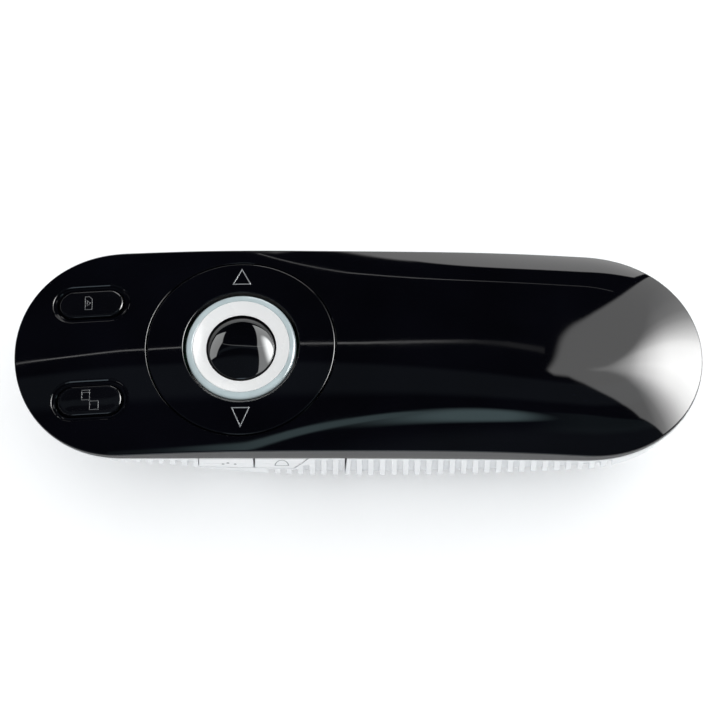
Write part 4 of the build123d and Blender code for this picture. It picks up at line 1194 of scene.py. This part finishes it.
def math_node(tree, op, a, b_=None, c=None, clamp=False):
    nd_ = tree.nodes.new("ShaderNodeMath"); nd_.operation = op; nd_.use_clamp = clamp
    for k, v in enumerate((a, b_, c)):
        if v is None:
            continue
        if isinstance(v, (int, float)):
            nd_.inputs[k].default_value = v
        else:
            tree.links.new(v, nd_.inputs[k])
    return nd_.outputs[0]


def step_node(tree, v, lo, hi, out_lo=0.0, out_hi=1.0, smooth=True):
    nd_ = tree.nodes.new("ShaderNodeMapRange"); nd_.clamp = True
    nd_.interpolation_type = "SMOOTHSTEP" if smooth else "LINEAR"
    tree.links.new(v, nd_.inputs["Value"])
    nd_.inputs["From Min"].default_value = lo; nd_.inputs["From Max"].default_value = hi
    nd_.inputs["To Min"].default_value = out_lo; nd_.inputs["To Max"].default_value = out_hi
    return nd_.outputs["Result"]


# The room as gloss sees it: a dark ceiling with a bright backdrop behind and faint
# grey fields. Diffuse light comes from an even white dome.
tcw = wn.new("ShaderNodeTexCoord"); sep = wn.new("ShaderNodeSeparateXYZ")
wl.new(tcw.outputs["Generated"], sep.inputs["Vector"])
zc = math_node(wt, "MAXIMUM", sep.outputs["Z"], 0.02)
gx = math_node(wt, "DIVIDE", sep.outputs["X"], zc); gy = math_node(wt, "DIVIDE", sep.outputs["Y"], zc)
gx2 = math_node(wt, "MULTIPLY", gx, gx)
front = step_node(wt, math_node(wt, "SUBTRACT", math_node(wt, "MULTIPLY", gy, -1.0), math_node(wt, "MULTIPLY_ADD", gx2, 1.2, 2.1)), -0.05, 0.2, 0.0, 1.5)
front = math_node(wt, "MULTIPLY", front, step_node(wt, gx, 0.0, 0.5, 1.0, 0.4))
side = step_node(wt, math_node(wt, "ABSOLUTE", gx), 3.3, 4.0, 0.0, 1.2)
haze = math_node(wt, "MULTIPLY", step_node(wt, gy, 0.20, 0.26), step_node(wt, gy, 0.375, 0.405, 0.09, 0.0))
low = step_node(wt, gy, 0.02, -0.2, 0.0, 0.07)
total = math_node(wt, "ADD", front, math_node(wt, "ADD", math_node(wt, "MULTIPLY", side, 0.01), math_node(wt, "ADD", haze, low)))
gloss_bg = wn.new("ShaderNodeBackground"); gloss_bg.inputs["Color"].default_value = (0.72, 0.88, 1.0, 1)
wl.new(total, gloss_bg.inputs["Strength"])
bg.inputs["Color"].default_value = (0.985, 0.995, 1.0, 1)
wl.new(math_node(wt, "MULTIPLY_ADD", math_node(wt, "MAXIMUM", sep.outputs["Z"], 0.0), 0.78, 0.60), bg.inputs["Strength"])
lp_ = wn.new("ShaderNodeLightPath"); mixw = wn.new("ShaderNodeMixShader")
wl.new(lp_.outputs["Is Glossy Ray"], mixw.inputs["Fac"])
wl.new(bg.outputs["Background"], mixw.inputs[1]); wl.new(gloss_bg.outputs["Background"], mixw.inputs[2])
wl.new(mixw.outputs["Shader"], wout.inputs["Surface"])


def panel(name, u0, u1, v0, v1, z, strength, color=(1, 1, 1), gloss_only=True):
    """A horizontal soft panel, given in millimetres, of even radiance."""
    d = bpy.data.lights.new(name, "AREA"); d.shape = "RECTANGLE"
    d.size, d.size_y = (u1 - u0) * MM, (v1 - v0) * MM
    d.color = color; d.energy = math.pi * d.size * d.size_y * strength
    o = bpy.data.objects.new(name, d); bpy.context.scene.collection.objects.link(o)
    o.location = ((u0 + u1) / 2 * MM, (v0 + v1) / 2 * MM, z * MM)
    if gloss_only:
        o.visible_diffuse = False
    o.visible_camera = False
    return o


def panel_uv(o, u0, u1, v0, v1, flip=False):
    """The panel's emission node and two sockets that give millimetres across it."""
    o.data.use_nodes = True
    t = o.data.node_tree
    ge = t.nodes.new("ShaderNodeNewGeometry"); sp = t.nodes.new("ShaderNodeSeparateXYZ")
    t.links.new(ge.outputs["Parametric"], sp.inputs["Vector"])
    a = math_node(t, "MULTIPLY_ADD", sp.outputs["X"], u1 - u0, u0)
    c = math_node(t, "MULTIPLY_ADD", sp.outputs["Y"], (v0 - v1) if flip else (v1 - v0), v1 if flip else v0)
    return t, t.nodes["Emission"], a, c


def ramp_node(t, v, stops):
    """A grey ramp over 0..1 through the given (position, value) pairs."""
    r = t.nodes.new("ShaderNodeValToRGB"); e = r.color_ramp.elements
    t.links.new(v, r.inputs["Fac"])
    e[0].position, e[0].color = stops[0][0], (stops[0][1],) * 3 + (1,)
    e[1].position, e[1].color = stops[-1][0], (stops[-1][1],) * 3 + (1,)
    for q_, k_ in stops[1:-1]:
        n_ = e.new(q_); n_.color = (k_, k_, k_, 1)
    return r.outputs["Color"]


# the large softbox to the right, brightest in a wedge and dimmer at its borders
PU0, PU1, PV0, PV1, PZ = 70.0, 1500.0, -135.0, 1500.0, 260.0
box = panel("right_box", PU0, PU1, PV0, PV1, PZ, 1.0, (1, 1, 0.995))
bt, em, uu, vv = panel_uv(box, PU0, PU1, PV0, PV1)
du = math_node(bt, "MAXIMUM", math_node(bt, "SUBTRACT", uu, 100.0), 4.0)
dv = math_node(bt, "SUBTRACT", vv, 105.0)
m_hi = math_node(bt, "MULTIPLY", math_node(bt, "DIVIDE", math_node(bt, "MAXIMUM", dv, 0.0), du), 0.5, clamp=True)
m_lo = math_node(bt, "MULTIPLY", math_node(bt, "DIVIDE", math_node(bt, "MINIMUM", dv, 0.0), du), -0.5, clamp=True)
r_hi = ramp_node(bt, m_hi, ((0, 1), (0.125, 0.93), (0.21, 0.86), (0.265, 0.75), (0.30, 0.62), (0.35, 0.49), (0.40, 0.37), (0.485, 0.21), (0.57, 0.135), (0.75, 0.10), (1, 0.085)))
r_lo = ramp_node(bt, m_lo, ((0, 1), (0.12, 0.88), (0.18, 0.81), (0.25, 0.66), (0.31, 0.51), (0.36, 0.40), (0.43, 0.28), (0.52, 0.16), (0.65, 0.10), (1, 0.08)))
amp = ramp_node(bt, math_node(bt, "MULTIPLY_ADD", uu, 0.005, -0.45, clamp=True), ((0, 0.03), (0.08, 0.16), (0.13, 0.32), (0.18, 0.53), (0.25, 0.71), (0.35, 0.86), (0.45, 0.945), (0.55, 0.98), (1, 1)))
hot = math_node(bt, "MULTIPLY", math_node(bt, "MULTIPLY", amp, 24.0), math_node(bt, "MULTIPLY", r_hi, r_lo))
hot = math_node(bt, "MAXIMUM", hot, 2.1)
m_up = step_node(bt, math_node(bt, "SUBTRACT", math_node(bt, "MULTIPLY_ADD", uu, 2.22, -75.0), vv), 0.0, 10.0)
l1 = math_node(bt, "MINIMUM", math_node(bt, "MULTIPLY_ADD", uu, -1.5, 231.0), 95.0)
l2 = math_node(bt, "MULTIPLY_ADD", uu, -1.26, 201.0); l3 = math_node(bt, "MULTIPLY_ADD", uu, -0.77, 121.7)
vlow = math_node(bt, "MAXIMUM", l1, math_node(bt, "MAXIMUM", l2, l3))
m_dn = step_node(bt, math_node(bt, "SUBTRACT", vv, vlow), -2.0, 4.0)
bt.links.new(math_node(bt, "MULTIPLY", hot, math_node(bt, "MULTIPLY", m_up, m_dn)), em.inputs["Strength"])

# the upright backdrop far behind, brighter toward the floor
BX0, BX1, BZ0, BZ1, BY = -900.0, 1900.0, 20.0, 2500.0, 3000.0
bd = bpy.data.lights.new("backdrop", "AREA"); bd.shape = "RECTANGLE"
bd.size, bd.size_y = (BX1 - BX0) * MM, (BZ1 - BZ0) * MM
bd.energy = math.pi * bd.size * bd.size_y
bdo = bpy.data.objects.new("backdrop", bd); bpy.context.scene.collection.objects.link(bdo)
bdo.location = ((BX0 + BX1) / 2 * MM, BY * MM, (BZ0 + BZ1) / 2 * MM); bdo.rotation_euler = (-math.pi / 2, 0, 0)
bdo.visible_diffuse = False; bdo.visible_camera = False
dt, dem, bxx, bzz = panel_uv(bdo, BX0, BX1, BZ0, BZ1, flip=True)
bgx = math_node(dt, "DIVIDE", bxx, bzz); bgy = math_node(dt, "DIVIDE", BY, bzz)
bpos = math_node(dt, "MAXIMUM", bgx, 0.0)
bed = math_node(dt, "MAXIMUM", math_node(dt, "MULTIPLY_ADD", math_node(dt, "MINIMUM", bgx, 0.0), 3.0, 1.45), 1.22)
bed = math_node(dt, "ADD", bed, math_node(dt, "MULTIPLY_ADD", bpos, 0.3, math_node(dt, "MULTIPLY", math_node(dt, "MULTIPLY", bpos, bpos), 0.58)))
bed = math_node(dt, "MAXIMUM", bed, math_node(dt, "MULTIPLY_ADD", bgx, 2.22, 0.2))
bst = step_node(dt, math_node(dt, "SUBTRACT", bgy, bed), -0.02, 0.03)
bst = math_node(dt, "MULTIPLY", bst, step_node(dt, bgy, 1.5, 4.5, 2.6, 3.9, False))
bst = math_node(dt, "MULTIPLY", bst, step_node(dt, bgx, -0.10, -0.045, 0.18, 1.0))
dt.links.new(bst, dem.inputs["Strength"])
# the thin lit seams overhead and a faint teal flag
sm = panel("strip_mid", -260, 80, 111.4, 112.9, PZ - 1.0, 1.0)
st_, sem, suu, svv = panel_uv(sm, -260, 80, 111.2, 113.0)
st_.links.new(step_node(st_, suu, -30.0, 45.0, 2.3, 0.25), sem.inputs["Strength"])
sf = panel("strip_far", -45, 135, 236, 306, PZ - 2.0, 1.0)
ft, fem, fu, fv = panel_uv(sf, -45, 135, 236, 306)
fc = math_node(ft, "MAXIMUM", math_node(ft, "MULTIPLY_ADD", fu, -0.12, 261.5), math_node(ft, "MULTIPLY_ADD", fu, -1.52, 243.7))
fo = math_node(ft, "ABSOLUTE", math_node(ft, "SUBTRACT", fv, fc))
fe = math_node(ft, "MULTIPLY", step_node(ft, fo, 0.9, 1.7, 1.0, 0.0), step_node(ft, fu, 0.0, 60.0, 1.9, 1.0))
ft.links.new(fe, fem.inputs["Strength"])
tf = panel("teal_flag", -110, 210, -60, 30, PZ - 3.0, 1.0, (0.66, 0.95, 1.0))
tt, tem, tu, tv = panel_uv(tf, -110, 210, -60, 30)
ea = math_node(tt, "DIVIDE", math_node(tt, "SUBTRACT", tu, 37.0), 54.0)
eb = math_node(tt, "DIVIDE", math_node(tt, "SUBTRACT", tv, 1.0), 20.0)
er = math_node(tt, "ADD", math_node(tt, "MULTIPLY", ea, ea), math_node(tt, "MULTIPLY", eb, eb))
part_a = math_node(tt, "MULTIPLY", step_node(tt, er, 1.0, 0.1, 0.0, 1.5), step_node(tt, tu, 50.0, 92.0, 1.0, 0.05))
tail = math_node(tt, "MULTIPLY", step_node(tt, math_node(tt, "ADD", tv, math_node(tt, "MULTIPLY", tu, 0.42)), 55.0, 62.0, 0.11, 0.0), step_node(tt, tu, 60.0, 95.0))
tail = math_node(tt, "MULTIPLY", tail, math_node(tt, "MULTIPLY", step_node(tt, tv, -58.0, -30.0), step_node(tt, tv, 14.0, 20.0, 1.0, 0.0)))
vc = step_node(tt, tu, -44.0, 2.0, -18.0, 7.0)
off = math_node(tt, "ABSOLUTE", math_node(tt, "SUBTRACT", tv, vc))
part_b = math_node(tt, "MULTIPLY", step_node(tt, off, 3.0, 7.0, 1.0, 0.0), math_node(tt, "MULTIPLY", step_node(tt, tu, -100.0, -25.0, 0.1, 1.0), step_node(tt, tu, 10.0, 30.0, 1.0, 0.0)))
tt.links.new(math_node(tt, "MAXIMUM", math_node(tt, "MAXIMUM", part_a, tail), part_b), tem.inputs["Strength"])

# the dome has its own softboxes: one to each side and a thin seam between them
ds = panel("dome_boxes", -1500, 1500, -400, 1600, PZ - 4.0, 1.0, (0.98, 1.0, 1.0))
kt, kem, ku, kv = panel_uv(ds, -1500, 1500, -400, 1600)
k_in = math_node(kt, "MINIMUM", math_node(kt, "MULTIPLY_ADD", kv, -0.197, -253.0), math_node(kt, "MULTIPLY_ADD", kv, 0.956, -505.0))
left = step_node(kt, math_node(kt, "SUBTRACT", k_in, ku), 0.0, 25.0, 0.0, 3.1)
left = math_node(kt, "MULTIPLY", left, step_node(kt, math_node(kt, "ADD", kv, math_node(kt, "MULTIPLY", ku, 0.9)), 240.0, 300.0, 1.0, 0.0))
left = math_node(kt, "MULTIPLY", left, step_node(kt, kv, 20.0, 45.0))
r_in = math_node(kt, "MAXIMUM", math_node(kt, "MULTIPLY_ADD", kv, 0.123, 105.0), math_node(kt, "MULTIPLY_ADD", kv, -0.241, 140.0))
right = step_node(kt, math_node(kt, "SUBTRACT", ku, r_in), 0.0, 12.0)
ga = math_node(kt, "DIVIDE", math_node(kt, "SUBTRACT", ku, 470.0), 300.0)
gb = math_node(kt, "DIVIDE", math_node(kt, "SUBTRACT", kv, 194.0), 330.0)
gr_ = math_node(kt, "ADD", math_node(kt, "MULTIPLY", ga, ga), math_node(kt, "MULTIPLY", gb, gb))
right = math_node(kt, "MULTIPLY", right, step_node(kt, gr_, 1.0, 0.0, 3.0, 18.0))
seam = math_node(kt, "ABSOLUTE", math_node(kt, "SUBTRACT", kv, math_node(kt, "MULTIPLY_ADD", math_node(kt, "MULTIPLY", ku, ku), 0.0013, 75.0)))
seam = math_node(kt, "MULTIPLY", step_node(kt, seam, 2.5, 5.5, 1.0, 0.0), step_node(kt, math_node(kt, "ABSOLUTE", ku), 300.0, 330.0, 1.0, 0.0))
kt.links.new(math_node(kt, "ADD", left, math_node(kt, "ADD", right, seam)), kem.inputs["Strength"])
only = bpy.data.collections.new("dome_only"); only.objects.link(dome)
apart = bpy.data.collections.new("dome_apart"); apart.objects.link(dome)
for lk in apart.collection_objects:
    lk.light_linking.link_state = "EXCLUDE"
ds.light_linking.receiver_collection = only
for lo in (box, bdo, sm, sf, tf):
    lo.light_linking.receiver_collection = apart

cam_d = bpy.data.cameras.new("photo_view"); cam = bpy.data.objects.new("photo_view", cam_d)
bpy.context.scene.collection.objects.link(cam)
E, DIST, SCL = math.radians(65.0), 1.600, 5.733
cam_d.sensor_width = 36.0; cam_d.sensor_fit = "HORIZONTAL"
cam_d.lens = 36.0 * SCL * 1600.0 / 720.0
cam.location = Vector((0, -DIST * math.cos(E), 0.017 + DIST * math.sin(E)))
cam.rotation_mode = "QUATERNION"
q = (Vector((0, 0, 0.017)) - cam.location).to_track_quat("-Z", "Y")
roll = Matrix.Rotation(math.radians(0.4), 4, "Z")
cam.rotation_quaternion = (q.to_matrix().to_4x4() @ roll).to_quaternion()
cam_d.shift_x, cam_d.shift_y = 1.5 / 720, -1.0 / 720
cam_d.clip_start, cam_d.clip_end = 0.01, 20
bpy.context.scene.camera = cam
bpy.context.scene.view_settings.view_transform = "Standard"
bpy.context.scene.view_settings.look = "None"
bpy.context.scene.view_settings.exposure = 0.0
